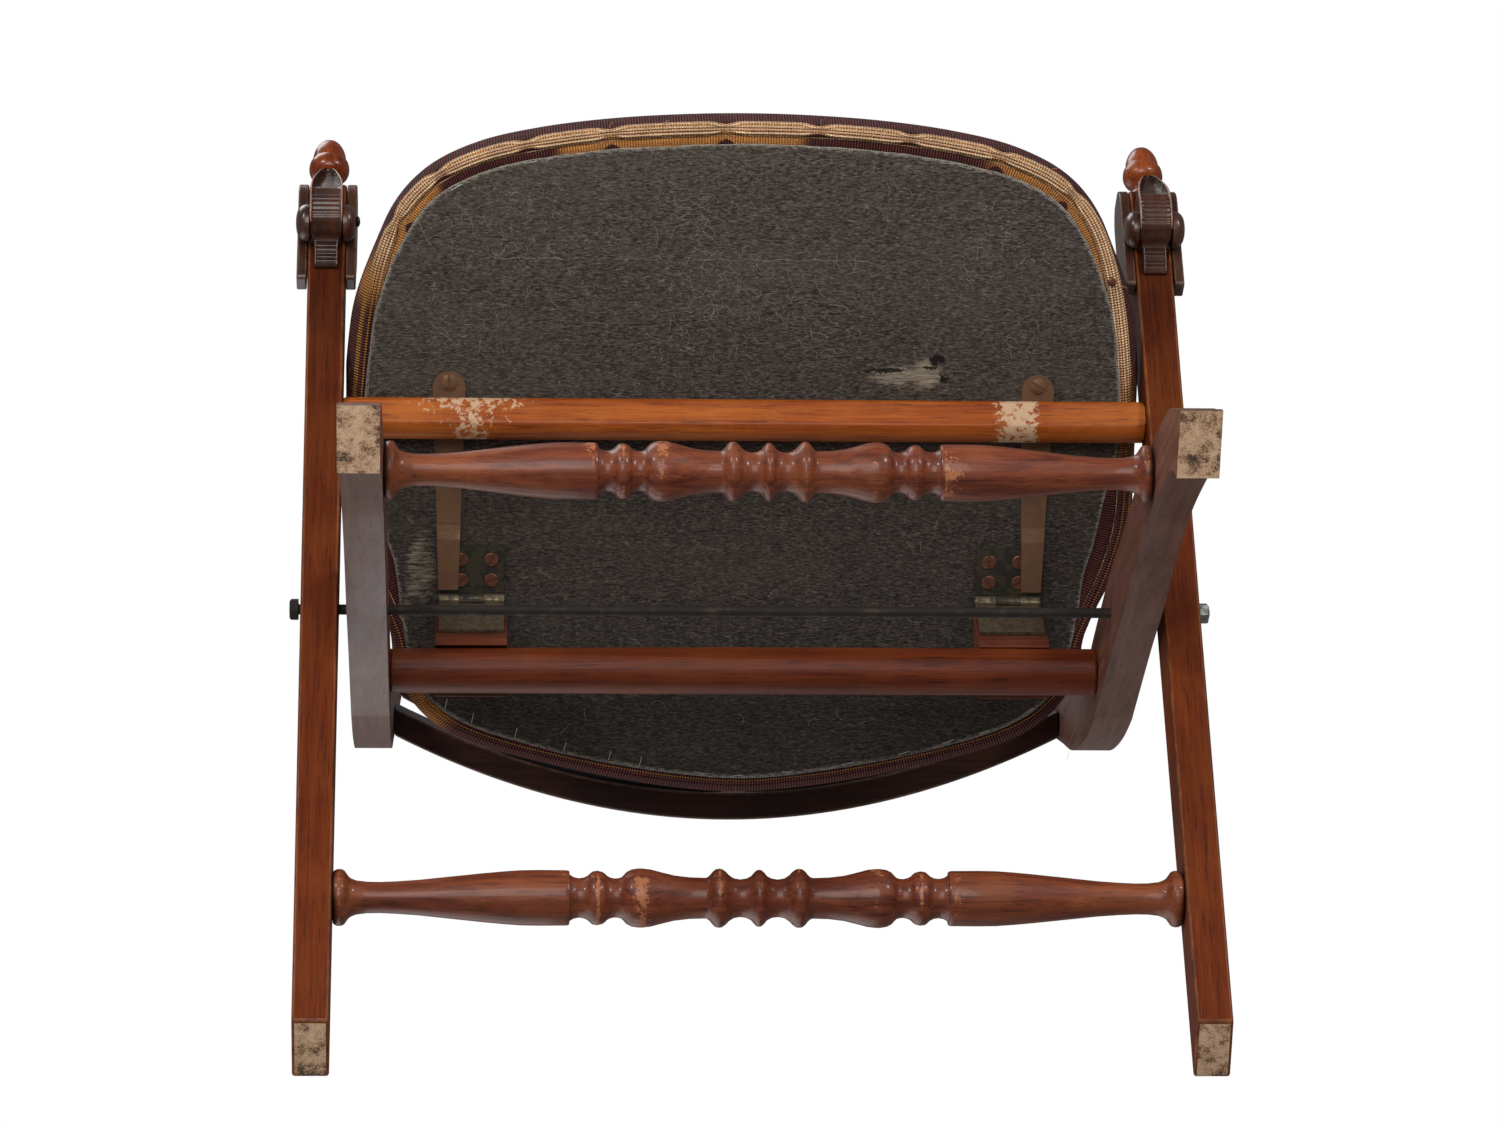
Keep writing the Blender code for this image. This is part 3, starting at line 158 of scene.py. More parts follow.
@dataclass(frozen=True)
class Walnut:
    """Black walnut under old shellac: open-pored, reddish, with a soft gloss.

    The grain is long streaks, the pores are short dark dashes along them, the shellac
    has worn thin in patches, which are more orange, and it is rubbed to the bare wood
    where the mesh's own "rub" value is high. Creases and hollows can be painted darker
    where ambient occlusion finds them, and a leg can be painted darker towards its top:
    both are painted shade.
    """

    name: str
    dark: str
    middle: str
    light: str
    glow: str
    grain: Grain = Grain.ACROSS
    roughness: float = 0.34
    coat: float = 0.25
    coat_rough: float = 0.16
    gloss: float = 0.5
    wear: float = 0.35
    streak_mm: float = 5.0
    pore_mm: float = 0.9
    patch_mm: float = 60.0
    flake_mm: float = 4.0
    bare: str = "B07440"
    crease_shade: float = 0.0
    top_shade: float = 0.0

    def turn(self) -> tuple[float, float, float]:
        """Return the rotation that lays the grain along one of the pattern's axes."""
        lean = {Grain.BACK_LEG: -52.0, Grain.CROSS_LEG: -123.3}.get(self.grain, 0.0)
        return (math.radians(lean), 0.0, 0.0)

    def stretch(self) -> tuple[float, float, float]:
        """Return the pattern's scale: long along the grain and short across it."""
        if self.grain is Grain.ACROSS:
            return (0.045, 1.0, 1.0)
        return (1.0, 0.045, 1.0)

    def build(self) -> bpy.types.Material:
        """Build the material."""
        material, tree, shader = new_material(self.name)
        place = add_node(tree, "ShaderNodeTexCoord")
        turned = add_node(tree, "ShaderNodeMapping", {"vector_type": "POINT"},
                          {"Vector": place.outputs["Object"], "Rotation": self.turn()})
        long = add_node(tree, "ShaderNodeMapping", None,
                        {"Vector": turned.outputs[0], "Scale": self.stretch()})
        streak = add_node(tree, "ShaderNodeTexNoise", None,
                          {"Vector": long.outputs[0], "Scale": 1 / (self.streak_mm * MM),
                           "Detail": 5.0, "Roughness": 0.62, "Distortion": 0.5})
        pores = add_node(tree, "ShaderNodeTexNoise", None,
                         {"Vector": long.outputs[0], "Scale": 1 / (self.pore_mm * MM),
                          "Detail": 2.0, "Roughness": 0.55})
        patch = add_node(tree, "ShaderNodeTexNoise", None,
                         {"Vector": place.outputs["Object"],
                          "Scale": 1 / (self.patch_mm * MM), "Detail": 5.0,
                          "Roughness": 0.66})
        flake = add_node(tree, "ShaderNodeTexNoise", None,
                         {"Vector": place.outputs["Object"],
                          "Scale": 1 / (self.flake_mm * MM), "Detail": 6.0,
                          "Roughness": 0.7, "Distortion": 0.4})
        wood = add_node(tree, "ShaderNodeValToRGB",
                        {"stops": [(0.30, self.dark), (0.5, self.middle), (0.70, self.light)]},
                        {"Fac": streak.outputs["Fac"]})
        worn = add_node(tree, "ShaderNodeMapRange", None,
                        {"Value": patch.outputs["Fac"], "From Min": 0.46, "From Max": 0.70,
                         "To Min": 0.0, "To Max": self.wear})
        glowing = add_node(tree, "ShaderNodeMix", {"data_type": "RGBA"},
                           {"Factor": worn.outputs[0], "A": wood.outputs["Color"],
                            "B": srgb(self.glow)})
        pore_mask = add_node(tree, "ShaderNodeMapRange", None,
                             {"Value": pores.outputs["Fac"], "From Min": 0.58, "From Max": 0.68,
                              "To Min": 0.0, "To Max": 0.55})
        pored = add_node(tree, "ShaderNodeMix", {"data_type": "RGBA"},
                         {"Factor": pore_mask.outputs[0], "A": glowing.outputs["Result"],
                          "B": srgb("1A0D08")})
        rub = add_node(tree, "ShaderNodeAttribute", {"attribute_name": "rub"})
        chance = add_node(tree, "ShaderNodeMath", {"operation": "MULTIPLY"},
                          {0: flake.outputs["Fac"], 1: 0.9})
        level = add_node(tree, "ShaderNodeMath", {"operation": "MULTIPLY_ADD"},
                         {0: rub.outputs["Fac"], 1: 0.6, 2: chance.outputs[0]})
        bared = add_node(tree, "ShaderNodeMapRange", None,
                         {"Value": level.outputs[0], "From Min": 0.74, "From Max": 0.80})
        colour = add_node(tree, "ShaderNodeMix", {"data_type": "RGBA"},
                          {"Factor": bared.outputs[0], "A": pored.outputs["Result"],
                           "B": srgb(self.bare)})
        # painted shade: creases and hollows that ambient occlusion finds are painted darker, for
        # the shade that falls there
        if self.crease_shade:
            shade = add_node(tree, "ShaderNodeAmbientOcclusion", {"samples": 6},
                             {"Distance": 5 * MM})
            crease_shade_mask = add_node(tree, "ShaderNodeMapRange", None,
                            {"Value": shade.outputs["AO"], "From Min": 0.35, "From Max": 0.9,
                             "To Min": self.crease_shade, "To Max": 0.0})
            colour = add_node(tree, "ShaderNodeMix", {"data_type": "RGBA"},
                              {"Factor": crease_shade_mask.outputs[0], "A": colour.outputs["Result"],
                               "B": srgb("120A08")})
        # painted shade: a leg is painted darker towards its top, as if less light reached it there
        if self.top_shade:
            apart = add_node(tree, "ShaderNodeSeparateXYZ", None, {0: place.outputs["Object"]})
            top_shade_mask = add_node(tree, "ShaderNodeMapRange", None,
                             {"Value": apart.outputs["Z"], "From Min": 0.16, "From Max": 0.46,
                              "To Max": self.top_shade})
            colour = add_node(tree, "ShaderNodeMix", {"data_type": "RGBA"},
                              {"Factor": top_shade_mask.outputs[0], "A": colour.outputs["Result"],
                               "B": srgb("200A04")})
        rough = add_node(tree, "ShaderNodeMapRange", None,
                         {"Value": patch.outputs["Fac"], "From Min": 0.3, "From Max": 0.75,
                          "To Min": self.roughness - 0.07, "To Max": self.roughness + 0.12})
        duller = add_node(tree, "ShaderNodeMath", {"operation": "MULTIPLY_ADD"},
                          {0: bared.outputs[0], 1: 0.22, 2: rough.outputs[0]})
        height = add_node(tree, "ShaderNodeMath", {"operation": "SUBTRACT"},
                          {0: streak.outputs["Fac"], 1: pore_mask.outputs[0]})
        bump = add_node(tree, "ShaderNodeBump", None,
                        {"Height": height.outputs[0], "Strength": 0.2, "Distance": 0.25 * MM})
        set_inputs(tree, shader, {
            "Base Color": colour.outputs["Result"], "Roughness": duller.outputs[0],
            "Normal": bump.outputs["Normal"], "IOR": 1.5, "Coat Weight": self.coat,
            "Coat Roughness": self.coat_rough, "Coat IOR": 1.5,
            "Specular IOR Level": self.gloss})
        return material


@dataclass(frozen=True)
class SoleWood:
    """Bare end grain of a leg's sole: pale, scuffed and stained by floors."""

    name: str = "sole_end_grain"
    pale: str = "CBA684"
    brown: str = "9C7658"
    stain: str = "453A32"

    def build(self) -> bpy.types.Material:
        """Build the material."""
        material, tree, shader = new_material(self.name)
        place = add_node(tree, "ShaderNodeTexCoord")
        ground = add_node(tree, "ShaderNodeTexNoise", None,
                          {"Vector": place.outputs["Object"], "Scale": 1 / (11 * MM),
                           "Detail": 8.0, "Roughness": 0.72})
        fine = add_node(tree, "ShaderNodeTexNoise", None,
                        {"Vector": place.outputs["Object"], "Scale": 1 / (1.0 * MM),
                         "Detail": 3.0, "Roughness": 0.65})
        both = add_node(tree, "ShaderNodeMath", {"operation": "MULTIPLY_ADD"},
                        {0: fine.outputs["Fac"], 1: 0.42, 2: ground.outputs["Fac"]})
        colour = add_node(tree, "ShaderNodeValToRGB",
                          {"stops": [(0.58, self.stain), (0.65, self.brown), (0.72, self.pale),
                                     (0.92, "E8CAA8")]},
                          {"Fac": both.outputs[0]})
        bump = add_node(tree, "ShaderNodeBump", None,
                        {"Height": both.outputs[0], "Strength": 0.5, "Distance": 0.5 * MM})
        set_inputs(tree, shader, {"Base Color": colour.outputs["Color"], "Roughness": 0.82,
                                  "Normal": bump.outputs["Normal"], "IOR": 1.45})
        return material


@dataclass(frozen=True)
class OldMetal:
    """Iron or steel with a patina: dark oxide over metal that shows at rubbed places.

    Fine scratches run across the chair, as wear from handling does.
    """

    name: str
    metal: str
    oxide: str
    amount: float = 0.55
    roughness: float = 0.42
    patch_mm: float = 9.0

    def build(self) -> bpy.types.Material:
        """Build the material."""
        material, tree, shader = new_material(self.name)
        place = add_node(tree, "ShaderNodeTexCoord")
        patch = add_node(tree, "ShaderNodeTexNoise", None,
                         {"Vector": place.outputs["Object"], "Scale": 1 / (self.patch_mm * MM),
                          "Detail": 7.0, "Roughness": 0.65})
        drawn = add_node(tree, "ShaderNodeMapping", None,
                         {"Vector": place.outputs["Object"], "Scale": (0.06, 1.0, 1.0)})
        scratch = add_node(tree, "ShaderNodeTexNoise", None,
                           {"Vector": drawn.outputs[0], "Scale": 1 / (0.7 * MM),
                            "Detail": 3.0, "Roughness": 0.7})
        worn = add_node(tree, "ShaderNodeMath", {"operation": "MULTIPLY_ADD"},
                        {0: scratch.outputs["Fac"], 1: -0.3, 2: patch.outputs["Fac"]})
        mask = add_node(tree, "ShaderNodeMapRange", None,
                        {"Value": worn.outputs[0], "From Min": 0.47 - 0.3 * self.amount,
                         "From Max": 0.60 - 0.3 * self.amount})
        colour = add_node(tree, "ShaderNodeMix", {"data_type": "RGBA"},
                          {"Factor": mask.outputs[0], "A": srgb(self.metal),
                           "B": srgb(self.oxide)})
        metallic = add_node(tree, "ShaderNodeMapRange", None,
                            {"Value": mask.outputs[0], "To Min": 0.9, "To Max": 0.2})
        rough = add_node(tree, "ShaderNodeMapRange", None,
                         {"Value": mask.outputs[0], "To Min": self.roughness,
                          "To Max": self.roughness + 0.22})
        bump = add_node(tree, "ShaderNodeBump", None,
                        {"Height": worn.outputs[0], "Strength": 0.3, "Distance": 0.25 * MM})
        set_inputs(tree, shader, {"Base Color": colour.outputs["Result"],
                                  "Metallic": metallic.outputs[0],
                                  "Roughness": rough.outputs[0],
                                  "Normal": bump.outputs["Normal"]})
        return material


@dataclass(frozen=True)
class Cambric:
    """Black cambric dust cover: a matted, dusty cotton that has faded to charcoal.

    Lint lies on it as fine pale squiggles and its cut edge is painted a paler, bluer grey:
    partly frayed threads, partly a painted highlight along the raised edge. It is worn
    pale in streaks and torn at the oval places that its lists give, as (x, y, half width,
    half depth, strength) in metres of the chair's frame; the tears are painted near
    black, painted shade inside them. The cover is also painted brighter at its front and
    darker towards its rear: painted light and shade.
    """

    name: str = "black_cambric"
    black: str = "3B3430"
    grey: str = "6A5F57"
    fibre: str = "958C80"
    cut: str = "A09A8E"
    pale: str = "A89C86"
    worn_places: tuple = ((0.090, -0.1575, 0.020, 0.0075, 0.72),
                          (0.106, -0.159, 0.012, 0.011, 0.75),
                          (-0.187, -0.040, 0.011, 0.028, 0.62),
                          (-0.196, -0.018, 0.006, 0.009, 0.5))
    torn_places: tuple = ((0.083, -0.1605, 0.0105, 0.0013, 0.9),
                          (0.0735, -0.1600, 0.005, 0.0008, 0.8),
                          (0.1115, -0.1668, 0.0036, 0.0042, 0.85),
                          (0.1085, -0.1620, 0.0055, 0.0012, 0.8),
                          (0.1145, -0.1560, 0.0022, 0.0030, 0.8))

    def places(self, tree: bpy.types.NodeTree, spot: bpy.types.NodeSocket,
               ovals: Sequence[Sequence[float]]) -> bpy.types.NodeSocket:
        """Return a mask that is highest in the middle of each oval place.

        Args:
            tree: the material's node tree.
            spot: the place on the cloth.
            ovals: the oval places.

        Returns:
            The mask's output, zero outside every oval.
        """
        whole = None
        for x, y, wide, deep, strength in ovals:
            local = add_node(tree, "ShaderNodeMapping", {"vector_type": "TEXTURE"},
                             {"Vector": spot, "Location": (x, y, 0.0),
                              "Scale": (wide, deep, 1000.0)})
            away = add_node(tree, "ShaderNodeVectorMath", {"operation": "LENGTH"},
                            {0: local.outputs[0]})
            here = add_node(tree, "ShaderNodeMapRange", {"interpolation_type": "SMOOTHSTEP"},
                            {"Value": away.outputs["Value"], "From Min": 0.3, "From Max": 1.6,
                             "To Min": strength, "To Max": 0.0})
            whole = here if whole is None else add_node(
                tree, "ShaderNodeMath", {"operation": "MAXIMUM"},
                {0: whole.outputs[0], 1: here.outputs[0]})
        return whole.outputs[0]

    def build(self) -> bpy.types.Material:
        """Build the material."""
        material, tree, shader = new_material(self.name)
        place = add_node(tree, "ShaderNodeTexCoord")
        along = add_node(tree, "ShaderNodeMapping", None,
                         {"Vector": place.outputs["Object"], "Scale": (0.28, 1.0, 1.0)})
        thread = add_node(tree, "ShaderNodeTexNoise", None,
                          {"Vector": along.outputs[0], "Scale": 1 / (0.9 * MM), "Detail": 4.0,
                           "Roughness": 0.8})
        matted = add_node(tree, "ShaderNodeTexNoise", None,
                          {"Vector": along.outputs[0], "Scale": 1 / (1.7 * MM), "Detail": 6.0,
                           "Roughness": 0.78, "Distortion": 0.8})
        cloud = add_node(tree, "ShaderNodeTexNoise", None,
                         {"Vector": along.outputs[0], "Scale": 1 / (55 * MM), "Detail": 4.0,
                          "Roughness": 0.6})
        base = add_node(tree, "ShaderNodeValToRGB",
                        {"stops": [(0.36, "171311"), (0.5, self.black), (0.64, self.grey)]},
                        {"Fac": thread.outputs["Fac"]})
        mat_mask = add_node(tree, "ShaderNodeMapRange", None,
                            {"Value": matted.outputs["Fac"], "From Min": 0.48, "From Max": 0.72,
                             "To Max": 0.6})
        matting = add_node(tree, "ShaderNodeMix", {"data_type": "RGBA"},
                           {"Factor": mat_mask.outputs[0], "A": base.outputs["Color"],
                            "B": srgb("70655C")})
        dust_mask = add_node(tree, "ShaderNodeMapRange", None,
                             {"Value": cloud.outputs["Fac"], "From Min": 0.50, "From Max": 0.75,
                              "To Max": 0.28})
        colour = add_node(tree, "ShaderNodeMix", {"data_type": "RGBA"},
                          {"Factor": dust_mask.outputs[0], "A": matting.outputs["Result"],
                           "B": srgb("625B4C")})
        # lint: thin lines where two noises cross their middle value, 6 mm and 11 mm coils
        for coil, width, amount in ((6.0, 0.012, 0.30), (11.0, 0.008, 0.42)):
            wander = add_node(tree, "ShaderNodeTexNoise", None,
                              {"Vector": place.outputs["Object"], "Scale": 1 / (coil * MM),
                               "Detail": 1.5, "Distortion": 1.6})
            off = add_node(tree, "ShaderNodeMath", {"operation": "SUBTRACT"},
                           {0: wander.outputs["Fac"], 1: 0.5})
            near = add_node(tree, "ShaderNodeMath", {"operation": "ABSOLUTE"},
                            {0: off.outputs[0]})
            line = add_node(tree, "ShaderNodeMapRange", None,
                            {"Value": near.outputs[0], "From Min": 0.0, "From Max": width,
                             "To Min": 1.0, "To Max": 0.0})
            broken = add_node(tree, "ShaderNodeTexNoise", None,
                              {"Vector": place.outputs["Object"],
                               "Scale": 1 / (coil * 0.9 * MM), "Detail": 3.0})
            piece = add_node(tree, "ShaderNodeMapRange", None,
                             {"Value": broken.outputs["Fac"], "From Min": 0.5,
                              "From Max": 0.62, "To Max": amount})
            lint = add_node(tree, "ShaderNodeMath", {"operation": "MULTIPLY"},
                            {0: line.outputs[0], 1: piece.outputs[0]})
            colour = add_node(tree, "ShaderNodeMix", {"data_type": "RGBA"},
                              {"Factor": lint.outputs[0], "A": colour.outputs["Result"],
                               "B": srgb(self.fibre)})
        # the cut edge is painted paler: partly frayed threads, partly a painted highlight along the
        # raised edge
        edge = add_node(tree, "ShaderNodeAttribute", {"attribute_name": "edge"})
        ravel = add_node(tree, "ShaderNodeMath", {"operation": "MULTIPLY_ADD"},
                         {0: edge.outputs["Fac"], 1: 0.33, 2: thread.outputs["Fac"]})
        edge_fray_and_highlight = add_node(tree, "ShaderNodeMapRange", None,
                             {"Value": ravel.outputs[0], "From Min": 0.60, "From Max": 0.90,
                              "To Max": 0.85})
        edged = add_node(tree, "ShaderNodeMix", {"data_type": "RGBA"},
                         {"Factor": edge_fray_and_highlight.outputs[0], "A": colour.outputs["Result"],
                          "B": srgb(self.cut)})
        # painted light and shade: the cover is painted brighter at the front and darker towards the
        # rear
        apart = add_node(tree, "ShaderNodeSeparateXYZ", None, {0: place.outputs["Object"]})
        painted_falloff = add_node(tree, "ShaderNodeMapRange", None,
                          {"Value": apart.outputs["Y"], "From Min": -0.30, "From Max": 0.08,
                           "To Min": 1.34, "To Max": 0.56})
        edged = add_node(tree, "ShaderNodeMix", {"data_type": "RGBA", "blend_type": "MULTIPLY"},
                         {"Factor": 1.0, "A": edged.outputs["Result"], "B": painted_falloff.outputs[0]})
        combed = add_node(tree, "ShaderNodeMapping", None,
                          {"Vector": place.outputs["Object"], "Scale": (0.13, 1.0, 1.0)})
        streak = add_node(tree, "ShaderNodeTexNoise", None,
                          {"Vector": combed.outputs[0], "Scale": 1 / (1.5 * MM), "Detail": 5.0,
                           "Roughness": 0.75, "Distortion": 0.5})
        wobble = add_node(tree, "ShaderNodeTexNoise", None,
                          {"Vector": place.outputs["Object"], "Scale": 1 / (7 * MM),
                           "Detail": 4.0, "Roughness": 0.7})
        centred = add_node(tree, "ShaderNodeVectorMath", {"operation": "SUBTRACT"},
                           {0: wobble.outputs["Color"], 1: (0.5, 0.5, 0.5)})
        ragged_place = add_node(tree, "ShaderNodeVectorMath", {"operation": "MULTIPLY_ADD"},
                                {0: centred.outputs[0], 1: (14 * MM, 9 * MM, 0.0),
                                 2: place.outputs["Object"]}).outputs[0]
        frayed = add_node(tree, "ShaderNodeMath", {"operation": "MULTIPLY_ADD"},
                          {0: self.places(tree, ragged_place, self.worn_places),
                           1: 0.62, 2: streak.outputs["Fac"]})
        worn_mask = add_node(tree, "ShaderNodeMapRange", None,
                             {"Value": frayed.outputs[0], "From Min": 0.78, "From Max": 1.06,
                              "To Max": 0.92})
        faded = add_node(tree, "ShaderNodeMix", {"data_type": "RGBA"},
                         {"Factor": worn_mask.outputs[0], "A": edged.outputs["Result"],
                          "B": srgb(self.pale)})
        # painted shade: the tears are painted near black, for the shade inside them
        ragged = add_node(tree, "ShaderNodeMath", {"operation": "MULTIPLY_ADD"},
                          {0: self.places(tree, ragged_place, self.torn_places),
                           1: 0.9, 2: streak.outputs["Fac"]})
        torn_mask = add_node(tree, "ShaderNodeMapRange", None,
                             {"Value": ragged.outputs[0], "From Min": 0.76, "From Max": 1.05,
                              "To Max": 0.92})
        holed = add_node(tree, "ShaderNodeMix", {"data_type": "RGBA"},
                         {"Factor": torn_mask.outputs[0], "A": faded.outputs["Result"],
                          "B": srgb("0B0908")})
        height = add_node(tree, "ShaderNodeMath", {"operation": "MULTIPLY_ADD"},
                          {0: thread.outputs["Fac"], 1: 0.6, 2: matted.outputs["Fac"]})
        bump = add_node(tree, "ShaderNodeBump", None,
                        {"Height": height.outputs[0], "Strength": 0.7, "Distance": 0.5 * MM})
        set_inputs(tree, shader, {"Base Color": holed.outputs["Result"], "Roughness": 0.95,
                                  "Normal": bump.outputs["Normal"], "Sheen Weight": 0.08,
                                  "Sheen Roughness": 0.5, "Specular IOR Level": 0.2})
        return material


@dataclass(frozen=True)
class BandedWeave:
    """Ribbed wool with woven bands: maroon ground, tan and gold bands round the seat.

    The bands follow the mesh's own "across" value and the ribs its "along" value, both
    in millimetres of cloth. "tan" and "gold" say where each band is woven. The ribs are
    1.6 mm apart and the rows 1.1 mm, about twice as coarse as real, so that they show.
    """

    name: str = "banded_wool"
    rib_mm: float = 1.6
    row_mm: float = 1.15
    cord_mm: float = 1.85
    groove_mm: float = 10.15
    inner_mm: float = 6.7
    seam_mm: float = 0.9
    outer_mm: float = 16.6
    cord_edge_mm: float = 14.3

    def between(self, tree: bpy.types.NodeTree, value: bpy.types.NodeSocket, low: float,
                high: float, soft: float = 0.35) -> bpy.types.NodeSocket:
        """Return a mask that is one between two values of a measure."""
        rise = add_node(tree, "ShaderNodeMapRange", None,
                        {"Value": value, "From Min": low - soft, "From Max": low + soft})
        fall = add_node(tree, "ShaderNodeMapRange", None,
                        {"Value": value, "From Min": high - soft, "From Max": high + soft,
                         "To Min": 1.0, "To Max": 0.0})
        return add_node(tree, "ShaderNodeMath", {"operation": "MULTIPLY"},
                        {0: rise.outputs[0], 1: fall.outputs[0]}).outputs[0]

    def wave(self, tree: bpy.types.NodeTree, value: bpy.types.NodeSocket,
             pitch: float, trough: float = 0.0) -> bpy.types.NodeSocket:
        """Return a sine of a measure, with its pitch and a trough's place in millimetres."""
        scaled = add_node(tree, "ShaderNodeMath", {"operation": "MULTIPLY_ADD"},
                          {0: value, 1: math.tau / pitch,
                           2: 1.5 * math.pi - math.tau * trough / pitch})
        return add_node(tree, "ShaderNodeMath", {"operation": "SINE"},
                        {0: scaled.outputs[0]}).outputs[0]

    def blend(self, tree: bpy.types.NodeTree, factor: bpy.types.NodeSocket,
              below: bpy.types.NodeSocket, above: object) -> bpy.types.NodeSocket:
        """Return one colour laid over another by a factor."""
        return add_node(tree, "ShaderNodeMix", {"data_type": "RGBA"},
                        {"Factor": factor, "A": below, "B": above}).outputs["Result"]

    def build(self) -> bpy.types.Material:
        """Build the material."""
        material, tree, shader = new_material(self.name)
        across, along, tan, gold = (
            add_node(tree, "ShaderNodeAttribute", {"attribute_name": name}).outputs["Fac"]
            for name in ("across", "along", "tan", "gold"))
        place = add_node(tree, "ShaderNodeTexCoord")
        fuzz = add_node(tree, "ShaderNodeTexNoise", None,
                        {"Vector": place.outputs["Object"], "Scale": 1 / (1.3 * MM),
                         "Detail": 4.0, "Roughness": 0.75})
        worn = add_node(tree, "ShaderNodeTexNoise", None,
                        {"Vector": place.outputs["Object"], "Scale": 1 / (14 * MM),
                         "Detail": 5.0, "Roughness": 0.65})
        rib = self.wave(tree, along, self.rib_mm)
        row = self.wave(tree, across, self.row_mm)
        weave = add_node(tree, "ShaderNodeMath", {"operation": "MULTIPLY"},
                         {0: rib, 1: row}).outputs[0]
        grid = add_node(tree, "ShaderNodeMath", {"operation": "MULTIPLY_ADD"},
                        {0: weave, 1: 0.7, 2: rib}).outputs[0]
        ground = add_node(tree, "ShaderNodeValToRGB",
                          {"stops": [(0.0, "0B0304"), (0.45, "411C1F"), (1.0, "96544E")]},
                          {"Fac": add_node(tree, "ShaderNodeMapRange", None,
                                           {"Value": grid, "From Min": -1.3,
                                            "From Max": 1.4}).outputs[0]})
        golden = add_node(tree, "ShaderNodeValToRGB",
                          {"stops": [(0.0, "4A2410"), (0.35, "C87A38"), (1.0, "FCB86E")]},
                          {"Fac": add_node(tree, "ShaderNodeMapRange", None,
                                           {"Value": grid, "From Min": -1.4,
                                            "From Max": 1.2}).outputs[0]})
        cord = self.wave(tree, across, self.cord_mm, self.groove_mm)
        twist = add_node(tree, "ShaderNodeMath", {"operation": "MULTIPLY_ADD"},
                         {0: rib, 1: 0.35, 2: cord})
        corded = add_node(tree, "ShaderNodeMath", {"operation": "MULTIPLY_ADD"},
                          {0: fuzz.outputs["Fac"], 1: 1.6, 2: twist.outputs[0]})
        tanned = add_node(tree, "ShaderNodeValToRGB",
                          {"stops": [(0.0, "3A2016"), (0.2, "BC8054"), (0.42, "FCC28A"),
                                     (1.0, "FFE6BE")]},
                          {"Fac": add_node(tree, "ShaderNodeMapRange", None,
                                           {"Value": corded.outputs[0], "From Min": -0.5,
                                            "From Max": 2.0}).outputs[0]})
        pink_mask = self.between(tree, across, self.groove_mm + 0.1, self.groove_mm + 1.8, 0.2)
        half_pink = add_node(tree, "ShaderNodeMath", {"operation": "MULTIPLY"},
                             {0: pink_mask, 1: 0.45}).outputs[0]
        tan_colour = self.blend(tree, half_pink, tanned.outputs["Color"], srgb("D49C7C"))
        gold_edge = self.between(tree, across, -2.0, self.inner_mm + 0.2)
        not_tan = add_node(tree, "ShaderNodeMath", {"operation": "SUBTRACT"},
                           {0: 1.0, 1: tan}).outputs[0]
        wide_gold = add_node(tree, "ShaderNodeMath", {"operation": "MAXIMUM"},
                             {0: gold_edge, 1: not_tan}).outputs[0]
        gold_mask = add_node(tree, "ShaderNodeMath", {"operation": "MULTIPLY"},
                             {0: gold, 1: wide_gold}).outputs[0]
        colour = self.blend(tree, gold_mask, ground.outputs["Color"], golden.outputs["Color"])
        band = self.between(tree, across, self.inner_mm + self.seam_mm, self.outer_mm)
        tan_mask = add_node(tree, "ShaderNodeMath", {"operation": "MULTIPLY"},
                            {0: band, 1: tan}).outputs[0]
        colour = self.blend(tree, tan_mask, colour, tan_colour)
        seam = self.between(tree, across, self.inner_mm, self.inner_mm + self.seam_mm, 0.2)
        colour = self.blend(tree, seam, colour, srgb("160D0A"))
        thin = self.between(tree, across, self.groove_mm + 0.9, self.groove_mm + 1.9, 0.2)
        thick = self.between(tree, across, self.cord_edge_mm, self.cord_edge_mm + 2.6, 0.3)
        apart = add_node(tree, "ShaderNodeSeparateXYZ", None, {0: place.outputs["Object"]})
        beside = add_node(tree, "ShaderNodeMapRange", None,
                          {"Value": apart.outputs["Y"], "From Min": -0.06, "From Max": -0.02,
                           "To Min": 1.0, "To Max": 0.0})
        edging = add_node(tree, "ShaderNodeMath", {"operation": "MULTIPLY"},
                          {0: thick, 1: beside.outputs[0]})
        piping = add_node(tree, "ShaderNodeMath", {"operation": "MAXIMUM"},
                          {0: thin, 1: edging.outputs[0]}).outputs[0]
        dotted = add_node(tree, "ShaderNodeMapRange", None,
                          {"Value": rib, "From Min": -0.6, "From Max": 0.4, "To Min": 0.15})
        stitch = add_node(tree, "ShaderNodeMath", {"operation": "MULTIPLY"},
                          {0: piping, 1: dotted.outputs[0]})
        stitched = add_node(tree, "ShaderNodeMath", {"operation": "MULTIPLY"},
                            {0: stitch.outputs[0], 1: not_tan}).outputs[0]
        colour = self.blend(tree, stitched, colour, srgb("C08A3C"))
        hazy = add_node(tree, "ShaderNodeMath", {"operation": "MULTIPLY_ADD"},
                        {0: fuzz.outputs["Fac"], 1: 0.7, 2: worn.outputs["Fac"]})
        level = add_node(tree, "ShaderNodeMapRange", None,
                         {"Value": hazy.outputs[0], "From Min": 0.45, "From Max": 1.25,
                          "To Min": 0.6, "To Max": 1.4})
        shaded = add_node(tree, "ShaderNodeMix", {"data_type": "RGBA", "blend_type": "MULTIPLY"},
                          {"Factor": 1.0, "A": colour, "B": level.outputs[0]})
        height = add_node(tree, "ShaderNodeMath", {"operation": "MULTIPLY_ADD"},
                          {0: fuzz.outputs["Fac"], 1: 0.8, 2: grid})
        bump = add_node(tree, "ShaderNodeBump", None,
                        {"Height": height.outputs[0], "Strength": 0.9, "Distance": 0.5 * MM})
        set_inputs(tree, shader, {"Base Color": shaded.outputs["Result"], "Roughness": 0.9,
                                  "Normal": bump.outputs["Normal"], "Sheen Weight": 0.05,
                                  "Sheen Roughness": 0.4, "Specular IOR Level": 0.15})
        return material


